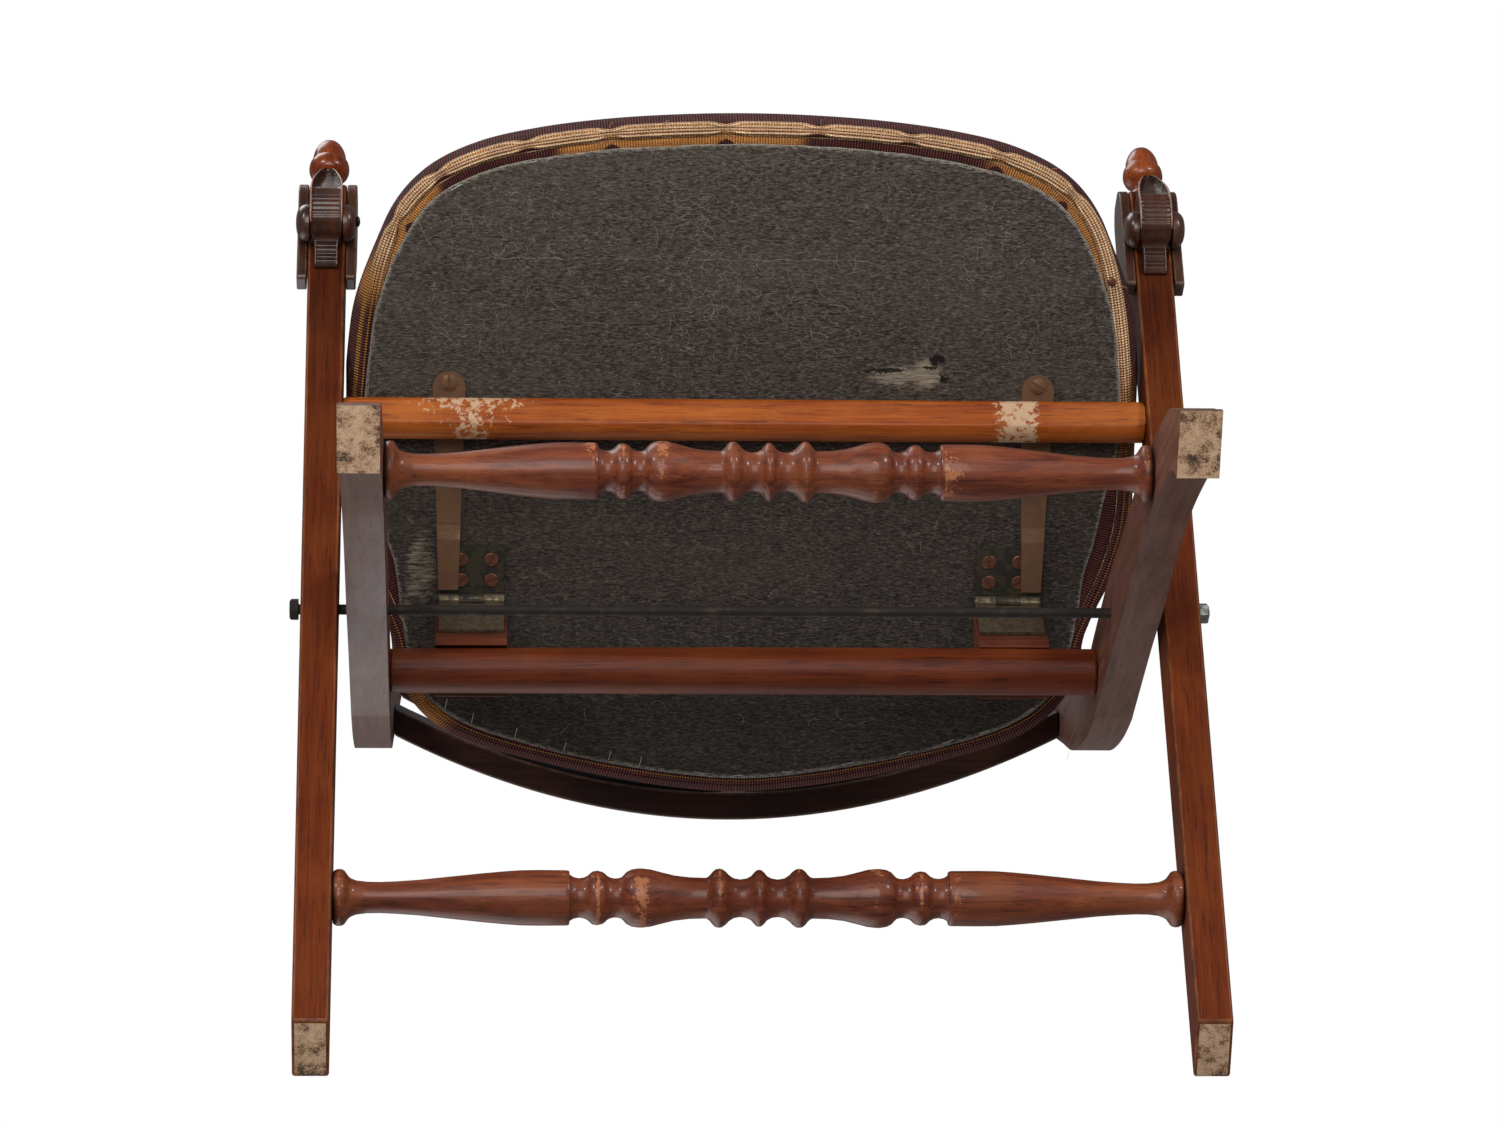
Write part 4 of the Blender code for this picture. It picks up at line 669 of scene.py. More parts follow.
@dataclass(frozen=True)
class Plain:
    """A small piece's finish: one colour broken by a fine unevenness."""

    name: str
    colour: str
    spot: str
    roughness: float = 0.5
    metallic: float = 0.0
    spot_mm: float = 3.0

    def build(self) -> bpy.types.Material:
        """Build the material."""
        material, tree, shader = new_material(self.name)
        place = add_node(tree, "ShaderNodeTexCoord")
        patch = add_node(tree, "ShaderNodeTexNoise", None,
                         {"Vector": place.outputs["Object"], "Scale": 1 / (self.spot_mm * MM),
                          "Detail": 5.0, "Roughness": 0.6})
        colour = add_node(tree, "ShaderNodeValToRGB",
                          {"stops": [(0.35, self.spot), (0.65, self.colour)]},
                          {"Fac": patch.outputs["Fac"]})
        bump = add_node(tree, "ShaderNodeBump", None,
                        {"Height": patch.outputs["Fac"], "Strength": 0.2, "Distance": 0.2 * MM})
        set_inputs(tree, shader, {"Base Color": colour.outputs["Color"],
                                  "Roughness": self.roughness, "Metallic": self.metallic,
                                  "Normal": bump.outputs["Normal"]})
        return material


class Finishes:
    """Every finish of the chair, built once and shared."""

    def __init__(self) -> None:
        """Build all the materials."""
        self.leg_front = Walnut("walnut_cross_leg", "581F08", "6A2B0C", "783610", "884212",
                                Grain.CROSS_LEG, roughness=0.5, coat=0.02, gloss=0.12, wear=0.5,
                                streak_mm=2.6, crease_shade=0.45, top_shade=0.55).build()
        self.leg_back = Walnut("walnut_back_leg", "523024", "6C4436", "7E5242", "865440",
                               Grain.BACK_LEG, roughness=0.42, coat=0.12, wear=0.3,
                               crease_shade=0.35).build()
        self.turned = Walnut("walnut_turned", "4A1C0E", "74361F", "8C4828", "A45C2C",
                             roughness=0.45, coat=0.2, coat_rough=0.07, gloss=0.35, wear=0.35,
                             crease_shade=0.9, bare="AE6A44", flake_mm=2.2).build()
        self.seat_rail = Walnut("walnut_seat_rail", "7C3206", "9C480C", "B66018", "C06A1C",
                                roughness=0.45, coat=0.08, gloss=0.34, wear=0.6,
                                streak_mm=4.5, bare="C8A482", flake_mm=4.0).build()
        self.hinge_rail = Walnut("walnut_hinge_rail", "4E1A0A", "662A12", "783618", "884418",
                                 roughness=0.45, coat=0.06, gloss=0.26, wear=0.5).build()
        self.back_rail = Walnut("walnut_back_rail", "22100B", "381E15", "4A281C", "582E1C",
                                roughness=0.5, coat=0.05, gloss=0.3, wear=0.4).build()
        self.carved = Walnut("walnut_carved", "28120C", "412116", "583422", "6E3C1E",
                             Grain.CROSS_LEG, roughness=0.32, coat=0.3, wear=0.35,
                             crease_shade=0.85, bare="A07058", flake_mm=1.5).build()
        self.finial = Walnut("walnut_finial", "521A06", "7A300C", "964414", "B25A1C",
                             Grain.CROSS_LEG, roughness=0.34, coat=0.4, coat_rough=0.05,
                             gloss=0.35, wear=0.6, crease_shade=0.9).build()
        self.block = Walnut("walnut_block", "43200F", "663220", "7E4430", "8A5034",
                            roughness=0.55, coat=0.0, gloss=0.3, wear=0.3,
                            crease_shade=0.5).build()
        self.rubbed = Walnut("walnut_rubbed_arris", "4A2008", "6C3412", "8A4C22", "9A5C30",
                             Grain.CROSS_LEG, roughness=0.5, coat=0.04, gloss=0.3, wear=0.6,
                             patch_mm=14.0).build()
        self.rubbed_dark = Walnut("walnut_dark_arris", "38221A", "5A3E30", "765444", "866450",
                                  Grain.BACK_LEG, roughness=0.42, coat=0.12, wear=0.5,
                                  patch_mm=14.0).build()
        self.sole = SoleWood().build()
        self.board = SoleWood("seat_board_pine", "BE9C6C", "A07C50", "80603C").build()
        self.bolt = OldMetal("wrought_iron_bolt", "4A4038", "241D18", 0.9, 0.55).build()
        self.nut = OldMetal("galvanised_nut", "A9ADA4", "767A70", 0.5, 0.45, 4.0).build()
        self.hinge = OldMetal("tarnished_steel", "5E5747", "26221B", 0.7, 0.45, 7.0).build()
        self.lower_hinge = OldMetal("scratched_steel", "84765E", "453A2E", 0.6, 0.42,
                                    6.0).build()
        self.runner = OldMetal("brown_iron", "8E6C50", "6E4E38", 0.8, 0.6, 12.0).build()
        self.screw = OldMetal("coppered_screw", "8E5C44", "55342A", 0.62, 0.45, 2.5).build()
        self.staple = OldMetal("staple_wire", "D8D6D0", "9A968E", 0.2, 0.3, 3.0).build()
        self.cambric = Cambric().build()
        self.weave = BandedWeave().build()
        self.lint = Plain("lint", "BCB6AC", "8C867E", 0.9).build()
        self.ebony = Plain("ebonised_moulding", "0E0B0A", "070606", 0.45).build()
        self.thread = Plain("loose_thread", "B08A58", "8A6438", 0.9).build()
        self.tack = Plain("copper_tack", "7A4A34", "4A2A20", 0.45, 0.5).build()


# ---------------------------------------------------------------- mesh code


def mix(start: float, end: float, share: float) -> float:
    """Return the value a share of the way from start to end."""
    return start + (end - start) * share


def smooth_line(stations: Sequence[Sequence[float]], steps: int,
                closed: bool = False) -> list[tuple[float, ...]]:
    """Return points of a smooth curve through stations.

    Args:
        stations: the points to pass, of any dimension.
        steps: how many points each stretch gets.
        closed: whether the curve returns to its start.

    Returns:
        The curve's points. A closed curve doesn't repeat its first point.
    """
    count = len(stations)
    stretches = count if closed else count - 1
    points = []
    for i in range(stretches):
        if closed:
            picks = [stations[(i + k) % count] for k in (-1, 0, 1, 2)]
        else:
            picks = [stations[min(max(i + k, 0), count - 1)] for k in (-1, 0, 1, 2)]
        for step in range(steps):
            t = step / steps
            points.append(tuple(
                0.5 * (2 * b + (c - a) * t + (2 * a - 5 * b + 4 * c - d) * t ** 2
                       + (3 * b - a - 3 * c + d) * t ** 3) for a, b, c, d in zip(*picks)))
    if not closed:
        points.append(tuple(stations[-1]))
    return points


def loft(rings: Sequence[Ring], cap: bool = True, closed: bool = True) -> Mesh:
    """Return the vertices and faces through rings of as many points each."""
    size = len(rings[0])
    verts = [point for ring in rings for point in ring]
    faces: list[tuple[int, ...]] = []
    for row in range(len(rings) - 1):
        for i in range(size if closed else size - 1):
            j = (i + 1) % size
            faces.append((row * size + i, row * size + j, (row + 1) * size + j,
                          (row + 1) * size + i))
    if cap:
        faces.append(tuple(reversed(range(size))))
        last = (len(rings) - 1) * size
        faces.append(tuple(range(last, last + size)))
    return verts, faces


def lathe(profile: Sequence[tuple[float, float]], origin: Vector, axis: Vector,
          steps: int = 48) -> Mesh:
    """Return a turned solid.

    Args:
        profile: (place along the axis, radius) pairs; an end of radius zero is a point.
        origin: where the axis starts.
        axis: the axis's direction.
        steps: how many sides the turning gets.

    Returns:
        The vertices and faces.
    """
    along = axis.normalized()
    side = along.orthogonal().normalized()
    other = along.cross(side)
    rings = []
    for place, radius in profile:
        centre = origin + along * place
        rings.append([centre + (side * math.cos(math.tau * k / steps)
                                + other * math.sin(math.tau * k / steps)) * max(radius, 1e-5)
                      for k in range(steps)])
    return loft(rings)


def side_plank(outline: Sequence[tuple[float, float]], x0: float, x1: float) -> Mesh:
    """Return a plank of a side outline, (y, z) points, from x0 to x1."""
    rings = [[Vector((x, y, z)) for y, z in outline] for x in (x0, x1)]
    return loft(rings)


def tube(path: Sequence[Vector], radius: float, sides: int = 8) -> Mesh:
    """Return a round wire along a path."""
    rings = []
    for i, point in enumerate(path):
        ahead = path[min(i + 1, len(path) - 1)]
        behind = path[max(i - 1, 0)]
        along = (ahead - behind).normalized()
        side = along.cross(Vector((0.31, 0.17, 0.93))).normalized()
        other = along.cross(side)
        rings.append([point + (side * math.cos(math.tau * k / sides)
                               + other * math.sin(math.tau * k / sides)) * radius
                      for k in range(sides)])
    return loft(rings)


def joined(parts: Iterable[Mesh]) -> Mesh:
    """Return several meshes as one."""
    verts: list[Vector] = []
    faces: list[tuple[int, ...]] = []
    for more_verts, more_faces in parts:
        base = len(verts)
        verts += more_verts
        faces += [tuple(i + base for i in face) for face in more_faces]
    return verts, faces


def moved(mesh: Mesh, matrix: Matrix) -> Mesh:
    """Return a mesh with every vertex moved by a matrix."""
    return [matrix @ v for v in mesh[0]], mesh[1]


class Shop:
    """Makes the visible pieces and reports each one."""

    def __init__(self, finishes: Finishes) -> None:
        """Keep the shared finishes."""
        self.finishes = finishes

    def piece(self, name: str, mesh: Mesh, material: bpy.types.Material, body: Body,
              replaces: Sequence[str] = (), slot: Optional[str] = None, bevel: float = 0.0,
              sharp: float = 35.0, segments: int = 3,
              worn: Optional[bpy.types.Material] = None) -> bpy.types.Object:
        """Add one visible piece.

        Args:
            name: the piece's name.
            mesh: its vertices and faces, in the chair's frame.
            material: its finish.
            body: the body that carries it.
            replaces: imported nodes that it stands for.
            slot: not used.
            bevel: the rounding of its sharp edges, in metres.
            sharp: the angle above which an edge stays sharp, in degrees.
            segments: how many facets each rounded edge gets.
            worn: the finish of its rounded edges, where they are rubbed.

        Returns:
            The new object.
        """
        data = bpy.data.meshes.new(name)
        data.from_pydata([tuple(v) for v in mesh[0]], [], mesh[1])
        work = bmesh.new()
        work.from_mesh(data)
        bmesh.ops.recalc_face_normals(work, faces=work.faces)
        work.to_mesh(data)
        work.free()
        data.materials.append(material)
        data.shade_smooth()
        data.set_sharp_from_angle(angle=math.radians(sharp))
        made = bpy.data.objects.new(name, data)
        bpy.context.scene.collection.objects.link(made)
        if bevel:
            edge = made.modifiers.new("edges", "BEVEL")
            edge.width = bevel
            edge.segments = segments
            edge.limit_method = "ANGLE"
            edge.angle_limit = math.radians(40)
            edge.harden_normals = True
            if worn:
                data.materials.append(worn)
                edge.material = 1
        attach(made, body.value)
        if replaces:
            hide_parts(*replaces)
        LOG.info("%s: %d faces on %s", name, len(data.polygons), body.value)
        return made

    def dress(self, node: str, material: bpy.types.Material) -> None:
        """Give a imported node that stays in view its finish."""
        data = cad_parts[node].data
        data.materials.clear()
        data.materials.append(material)
        LOG.info("%s keeps its packed shape", node)


def mark(piece: bpy.types.Object, name: str, values: Sequence[float]) -> None:
    """Store a value for each of a piece's points, under a name that its finish reads."""
    piece.data.attributes.new(name, "FLOAT", "POINT").data.foreach_set("value", values)


def paint_soles(piece: bpy.types.Object, sole: bpy.types.Material) -> None:
    """Give the faces that stand on the floor the sole's finish."""
    piece.data.materials.append(sole)
    for face in piece.data.polygons:
        if face.normal.z < -0.9 and face.center.z < 1.5 * MM:
            face.material_index = len(piece.data.materials) - 1


# ---------------------------------------------------------------- the chair's layout


@dataclass
class Layout:
    """The chair's joint axes and directions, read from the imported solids."""

    pivot_back: float = 0.212
    cross_lean: float = 56.7
    back_rake: float = 20.3
    back_inner: float = 0.2038
    back_thick: float = 0.022
    leg_gap: float = 0.0057
    cross_thick: float = 0.022
    fit: float = 0.00035
    rail_under: float = 0.01105

    def __post_init__(self) -> None:
        """Work out the points and directions."""
        self.pivot = self.middle("pivot_nut")
        self.pin = self.middle("hinge_pin_left")
        self.hinge_rail = self.middle("hinge_rail")
        self.toe_y = self.pivot.y - self.pivot_back
        lean = math.radians(self.cross_lean)
        span = self.pin - self.middle("seat_rail")
        tilt = math.asin(self.rail_under / span.length) - math.atan2(span.z, span.y)
        rake = math.radians(self.back_rake)
        self.rake = rake
        self.lean = lean
        self.up_cross = Vector((0.0, -math.cos(lean), math.sin(lean)))
        self.over_cross = Vector((0.0, math.sin(lean), math.cos(lean)))
        self.seat_rear = Vector((0.0, math.cos(tilt), -math.sin(tilt)))
        self.seat_up = Vector((0.0, math.sin(tilt), math.cos(tilt)))
        self.up_back = Vector((0.0, math.sin(rake), math.cos(rake)))
        self.behind = Vector((0.0, math.cos(rake), -math.sin(rake)))
        self.waist = Vector((0.0, self.toe_y + 0.344, 0.391))
        self.back_outer = self.back_inner + self.back_thick
        self.cross_inner = self.back_outer + self.leg_gap
        self.cross_outer = self.cross_inner + self.cross_thick
        self.cross_middle = self.cross_inner + self.cross_thick / 2
        self.seat_half = self.cross_inner - 0.004

    @staticmethod
    def middle(node: str) -> Vector:
        """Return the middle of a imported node's box, on the chair's centre plane."""
        low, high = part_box(node)
        return Vector((0.0, (low.y + high.y) / 2, (low.z + high.z) / 2))

    def on_seat(self, x: float, back: float, up: float) -> Vector:
        """Return a point given across, behind and over the seat's hinge pin."""
        return self.pin + Vector((x, 0.0, 0.0)) + self.seat_rear * back + self.seat_up * up

    def on_cross(self, x: float, over: float, along: float) -> Vector:
        """Return a point given across, over and along a cross leg from the pivot."""
        return (self.pivot + Vector((x, 0.0, 0.0)) + self.over_cross * over
                + self.up_cross * along)


TURNING = (
    (0.0, 0.965), (0.006, 0.945), (0.013, 0.85), (0.019, 0.745), (0.030, 0.665), (0.045, 0.635),
    (0.060, 0.675), (0.071, 0.78), (0.079, 0.90), (0.087, 0.98), (0.094, 1.0), (0.102, 0.98),
    (0.109, 0.90), (0.115, 0.79), (0.121, 0.715), (0.124, 0.695), (0.128, 0.688), (0.165, 0.705),
    (0.200, 0.765), (0.230, 0.87), (0.255, 0.965), (0.274, 0.998), (0.284, 1.0), (0.300, 0.965),
    (0.312, 0.88), (0.319, 0.77), (0.324, 0.70), (0.332, 0.665), (0.342, 0.66), (0.352, 0.70),
    (0.359, 0.76), (0.361, 0.80), (0.368, 0.875), (0.380, 0.92), (0.392, 0.895), (0.399, 0.81),
    (0.403, 0.755), (0.412, 0.69), (0.424, 0.665), (0.436, 0.70), (0.4455, 0.785),
    (0.4465, 0.90), (0.450, 0.925), (0.456, 0.935), (0.52, 0.94), (0.56, 0.93), (0.60, 0.89),
    (0.65, 0.825), (0.70, 0.75), (0.75, 0.675), (0.80, 0.60), (0.85, 0.55), (0.89, 0.525),
    (0.92, 0.532), (0.945, 0.575), (0.957, 0.64), (0.963, 0.70), (0.968, 0.80), (0.973, 0.90),
    (0.978, 0.945), (0.985, 0.96), (0.992, 0.95), (0.997, 0.91), (1.0, 0.86))
RUBBED_CRESTS = ((0.003, 0.012, 0.74), (0.094, 0.013, 0.76), (0.274, 0.046, 0.76),
                 (0.380, 0.014, 0.62), (0.456, 0.008, 0.70), (0.50, 0.05, 0.42),
                 (0.985, 0.010, 0.52))


@dataclass
class Rails:
    """The round members that run across the chair.

    The two plain rails are flatted where the light from the front strikes them, as the
    real ones are: each has one flat that meets the round at two long arrises.
    """

    layout: Layout
    shop: Shop
    hinge_radius: float = 0.0138
    seat_radius: float = 0.012
    stretcher_radius: float = 0.0161
    seat_reach: float = 0.133
    tenon_radius: float = 0.0075
    tenon: float = 0.013
    flat_share: float = 0.80
    worn_places: tuple = (-0.1575, 0.157)

    def turned(self, half: float) -> list[tuple[float, float]]:
        """Return the profile of a turned stretcher of a half length."""
        right = [(half * along, radius * self.stretcher_radius) for along, radius in TURNING]
        right += [(half, self.tenon_radius), (half + self.tenon, self.tenon_radius),
                  (half + self.tenon, 0.0)]
        return [(-along, radius) for along, radius in reversed(right[1:])] + right

    def plain(self, half: float, radius: float) -> list[tuple[float, float]]:
        """Return the profile of a plain round rail, hardly slimmer at its ends."""
        right = [(half * k / 40, radius * (1 - 0.012 * (k / 40) ** 3)) for k in range(40)]
        right += [(half - 1.2 * MM, radius * 0.985), (half, radius - 1.2 * MM),
                  (half, self.tenon_radius), (half + self.tenon, self.tenon_radius),
                  (half + self.tenon, 0.0)]
        return [(-along, value) for along, value in reversed(right[1:])] + right

    def flatted(self, mesh: Mesh, centre: Vector, radius: float, facing: float,
                twist: float) -> Mesh:
        """Return a round rail with one flat along it.

        Args:
            mesh: the round rail.
            centre: a point on its axis.
            radius: its radius.
            facing: the flat's direction, in degrees up from straight forward.
            twist: how much further up it faces at the rail's left end, in degrees.

        Returns:
            The vertices and faces.
        """
        verts = []
        for point in mesh[0]:
            turn = math.radians(facing + twist * max(0.0, -point.x / 0.2))
            out = Vector((0.0, -math.cos(turn), math.sin(turn)))
            proud = (point - centre).dot(out) - radius * self.flat_share
            verts.append(point - out * proud if proud > 0 else point.copy())
        return verts, mesh[1]

    def rub_crests(self, piece: bpy.types.Object, half: float, seed: float) -> None:
        """Mark the beads' crests as rubbed, more in some places than in others."""
        rub = []
        for vertex in piece.data.vertices:
            share = abs(vertex.co.x) / half
            wear = max(amount * max(0.0, 1 - abs(share - crest) / width)
                       for crest, width, amount in RUBBED_CRESTS)
            here = 0.52 + 1.2 * noise.noise(vertex.co * 36 + Vector((seed, 0.0, 0.0)))
            here += 0.5 * noise.noise(vertex.co * 120 + Vector((0.0, seed, 0.0)))
            rub.append(wear * max(0.0, here))
        mark(piece, "rub", rub)

    def rub_places(self, piece: bpy.types.Object) -> None:
        """Mark the places where the seat's irons and hands rubbed the seat rail."""
        rub = []
        middle = self.layout.on_cross(0.0, 0.0, self.seat_reach).y
        for vertex in piece.data.vertices:
            near = min(abs(vertex.co.x - place) for place in self.worn_places)
            wear = 0.66 * max(0.0, 1 - (near / 0.019) ** 3)
            if vertex.co.x < 0:
                ahead = 0.5 + 0.5 * (middle - vertex.co.y) / self.seat_radius
                spread = 0.60 * ahead * max(0.0, 1 - (near / 0.055) ** 2)
                wear = max(wear * 0.80, spread)
            rub.append(wear)
        mark(piece, "rub", rub)

    def build(self) -> None:
        """Build and dress the four members."""
        lay = self.layout
        finish = self.shop.finishes
        across = Vector((1.0, 0.0, 0.0))
        back_half = lay.back_inner - lay.fit
        cross_half = lay.cross_inner - lay.fit
        for name, node, half, body, seed in (
                ("stretcher_front", "front_stretcher", back_half, Body.BACK, 0.0),
                ("stretcher_rear", "rear_stretcher", cross_half, Body.CROSS, 5.0)):
            made = self.shop.piece(name, lathe(self.turned(half), lay.middle(node), across, 64),
                                   finish.turned, body, [node], "dark_walnut")
            self.rub_crests(made, half, seed)
        round_rail = lathe(self.plain(back_half, self.hinge_radius), lay.hinge_rail, across, 96)
        self.shop.piece("rail_of_hinges",
                        self.flatted(round_rail, lay.hinge_rail, self.hinge_radius, 0.0, 16.0),
                        finish.hinge_rail, Body.BACK, ["hinge_rail"], "rail_walnut", sharp=30.0)
        centre = lay.on_cross(0.0, 0.0, self.seat_reach)
        round_rail = lathe(self.plain(cross_half, self.seat_radius), centre, across, 96)
        made = self.shop.piece("rail_of_seat",
                               self.flatted(round_rail, centre, self.seat_radius, -41.0, 0.0),
                               finish.seat_rail, Body.CROSS, ["seat_rail"], "rail_walnut",
                               sharp=60.0)
        self.rub_places(made)


@dataclass
class BackLegs:
    """The two ogee legs, each from a front foot to the top of the back."""

    layout: Layout
    shop: Shop
    height: float = 0.838
    sole: float = 0.037
    foot: float = 0.0325
    knee: float = 0.0452
    waist: float = 0.040
    tip: float = 0.028
    edge: float = 0.0019
    shin: tuple = ((0.105, 0.063), (0.135, 0.140), (0.19, 0.218), (0.345, 0.404), (0.495, 0.555),
                   (0.645, 0.690), (0.790, 0.808))
    shin_widths: tuple = (0.0, 0.0, 0.02, 0.10, 0.25, 0.48, 0.74)

    def line(self) -> list[tuple[float, ...]]:
        """Return (back, up, width) along the leg's centre line."""
        lay = self.layout
        up = lay.pivot.z
        stations = [(self.sole / 2, 0.0, self.sole)]
        for (back, rise), width in zip(self.shin, self.shin_widths):
            stations.append((lay.pivot_back * back, up * rise,
                             mix(self.foot, self.knee, width)))
        rail = (lay.hinge_rail.y - lay.toe_y, lay.hinge_rail.z)
        waist = (lay.waist.y - lay.toe_y, lay.waist.z)
        stations.append((lay.pivot_back, up, self.knee))
        stations.append((*rail, self.knee))
        for (back, rise), width in (((0.20, 0.135), 0.15), ((0.60, 0.50), 0.65)):
            stations.append((mix(rail[0], waist[0], back), mix(rail[1], waist[1], rise),
                             mix(self.knee, self.waist, width)))
        stations.append((*waist, self.waist))
        length = (self.height - waist[1]) / math.cos(lay.rake)
        for share, width in ((0.12, 0.10), (0.26, 0.24), (0.55, 0.54), (0.80, 0.80)):
            stations.append((waist[0] + lay.up_back.y * length * share,
                             waist[1] + lay.up_back.z * length * share,
                             mix(self.waist, self.tip, width)))
        top = length - self.tip / 2
        stations.append((waist[0] + lay.up_back.y * top, waist[1] + lay.up_back.z * top,
                         self.tip))
        return smooth_line(stations, 7)

    def outline(self) -> list[tuple[float, float]]:
        """Return the closed side outline, as (y, z) points of the chair's frame."""
        line = self.line()
        rear, front = [], []
        for i, (back, up, width) in enumerate(line):
            ahead = line[min(i + 1, len(line) - 1)]
            behind = line[max(i - 1, 0)]
            along = Vector((ahead[0] - behind[0], ahead[1] - behind[1])).normalized()
            if i == 0:
                along = Vector((0.0, 1.0))
            off = Vector((along.y, -along.x)) * (width / 2)
            if i == 0 or up + off.y > 1e-4:
                rear.append((back + off.x, up + off.y))
            front.append((back - off.x, up - off.y))
        back, up, width = line[-1]
        over = []
        for step in range(1, 16):
            turn = math.pi * step / 16 - self.layout.rake
            over.append((back + math.cos(turn) * width / 2, up + math.sin(turn) * width / 2))
        whole = rear + over + front[::-1]
        return [(y + self.layout.toe_y, z) for y, z in whole]

    def build(self) -> None:
        """Build and dress both legs."""
        lay = self.layout
        outline = self.outline()
        for side in Side:
            inner, outer = side.value * lay.back_inner, side.value * lay.back_outer
            leg = self.shop.piece(f"ogee_leg_{side.word}", side_plank(outline, inner, outer),
                                  self.shop.finishes.leg_back, Body.BACK,
                                  [f"back_leg_{side.word}"], "walnut", self.edge,
                                  worn=self.shop.finishes.rubbed_dark)
            paint_soles(leg, self.shop.finishes.sole)


@dataclass
class BackRails:
    """The two bowed rails of the back, with the ebonised moulding on the lower one."""

    layout: Layout
    shop: Shop
    thick: float = 0.0168
    edge: float = 0.0015
    lower_up: float = 0.16
    lower_setback: float = 0.0092
    lower_bow: float = 0.051
    strip_proud: float = 0.0042
    strip_wide: float = 0.0085

    def rail(self, up: float, setback: float, width: float, bow: float, arch: float,
             shares: Sequence[float]) -> Mesh:
        """Return a rail bowed to the rear.

        Args:
            up: how far up the back from the waist its foot line lies.
            setback: how far behind the legs' centre line it lies.
            width: its height along the back.
            bow: how far its middle lies behind its ends.
            arch: how far its top edge rises in the middle.
            shares: the rise from end to middle, as shares of the arch.

        Returns:
            The vertices and faces.
        """
        lay = self.layout
        foot = lay.waist + lay.up_back * up + lay.behind * setback
        inner = lay.back_inner - lay.fit
        stations = smooth_line([(value,) for value in shares], 8)
        rings = []
        for i in range(49):
            share = mix(-1, 1, i / 48)
            rise = stations[round((1 - abs(share)) * (len(stations) - 1))][0] * arch
            depth = (1 - share ** 2) * bow
            rings.append([foot + lay.up_back * height + lay.behind * (depth + off)
                          + Vector((share * inner, 0.0, 0.0))
                          for off, height in ((-self.thick / 2, 0.0), (self.thick / 2, 0.0),
                                              (self.thick / 2, width + rise),
                                              (-self.thick / 2, width + rise))])
        return loft(rings)

    def strip(self, foot: Vector, start: float, end: float) -> Mesh:
        """Return one length of the moulding, a half round with pointed ends.

        Args:
            foot: the lower rail's foot point.
            start: where it starts, as a share of the rail's half length.
            end: where it ends.

        Returns:
            The vertices and faces.
        """
        lay = self.layout
        inner = lay.back_inner - lay.fit
        rings = []
        for i in range(25):
            share = mix(start, end, i / 24)
            swell = min(1.0, 0.25 + 9 * min(i, 24 - i) / 24)
            depth = (1 - share ** 2) * self.lower_bow - self.thick / 2
            ring = []
            for k in range(9):
                turn = math.pi * k / 8
                out = math.sin(turn) * self.strip_proud * swell
                height = 1.4 * MM + self.strip_wide * (0.5 - 0.5 * math.cos(turn) * swell)
                ring.append(foot + lay.up_back * height + lay.behind * (depth - out + 0.2 * MM)
                            + Vector((share * inner, 0.0, 0.0)))
            rings.append(ring)
        return loft(rings)

    def build(self) -> None:
        """Build and dress both rails."""
        lay = self.layout
        finish = self.shop.finishes
        length = (0.838 - 0.391) / math.cos(lay.rake)
        self.shop.piece("rail_of_back",
                        self.rail(length * self.lower_up, self.lower_setback, 0.056,
                                  self.lower_bow, 0.010, (0.0, 0.35, 0.7, 0.92, 1.0)),
                        finish.back_rail, Body.BACK, ["lower_back_rail"], "dark_walnut",
                        self.edge, worn=finish.rubbed_dark)
        self.shop.piece("rail_of_crest", self.rail(length - 0.0665, 0.0055, 0.058, 0.056, 0.026,
                                                   (0.0, 0.10, 0.06, 0.22, 0.52, 0.80, 0.95,
                                                    1.0)),
                        finish.back_rail, Body.BACK, ["crest_rail"], "walnut", self.edge,
                        worn=finish.rubbed_dark)
        foot = lay.waist + lay.up_back * (length * self.lower_up) + lay.behind * (
            self.lower_setback)
        mouldings = [self.strip(foot, 0.055, 0.72), self.strip(foot, -0.72, -0.015)]
        self.shop.piece("ebonised_strip", joined(mouldings), finish.ebony, Body.BACK,
                        slot="dark_walnut")


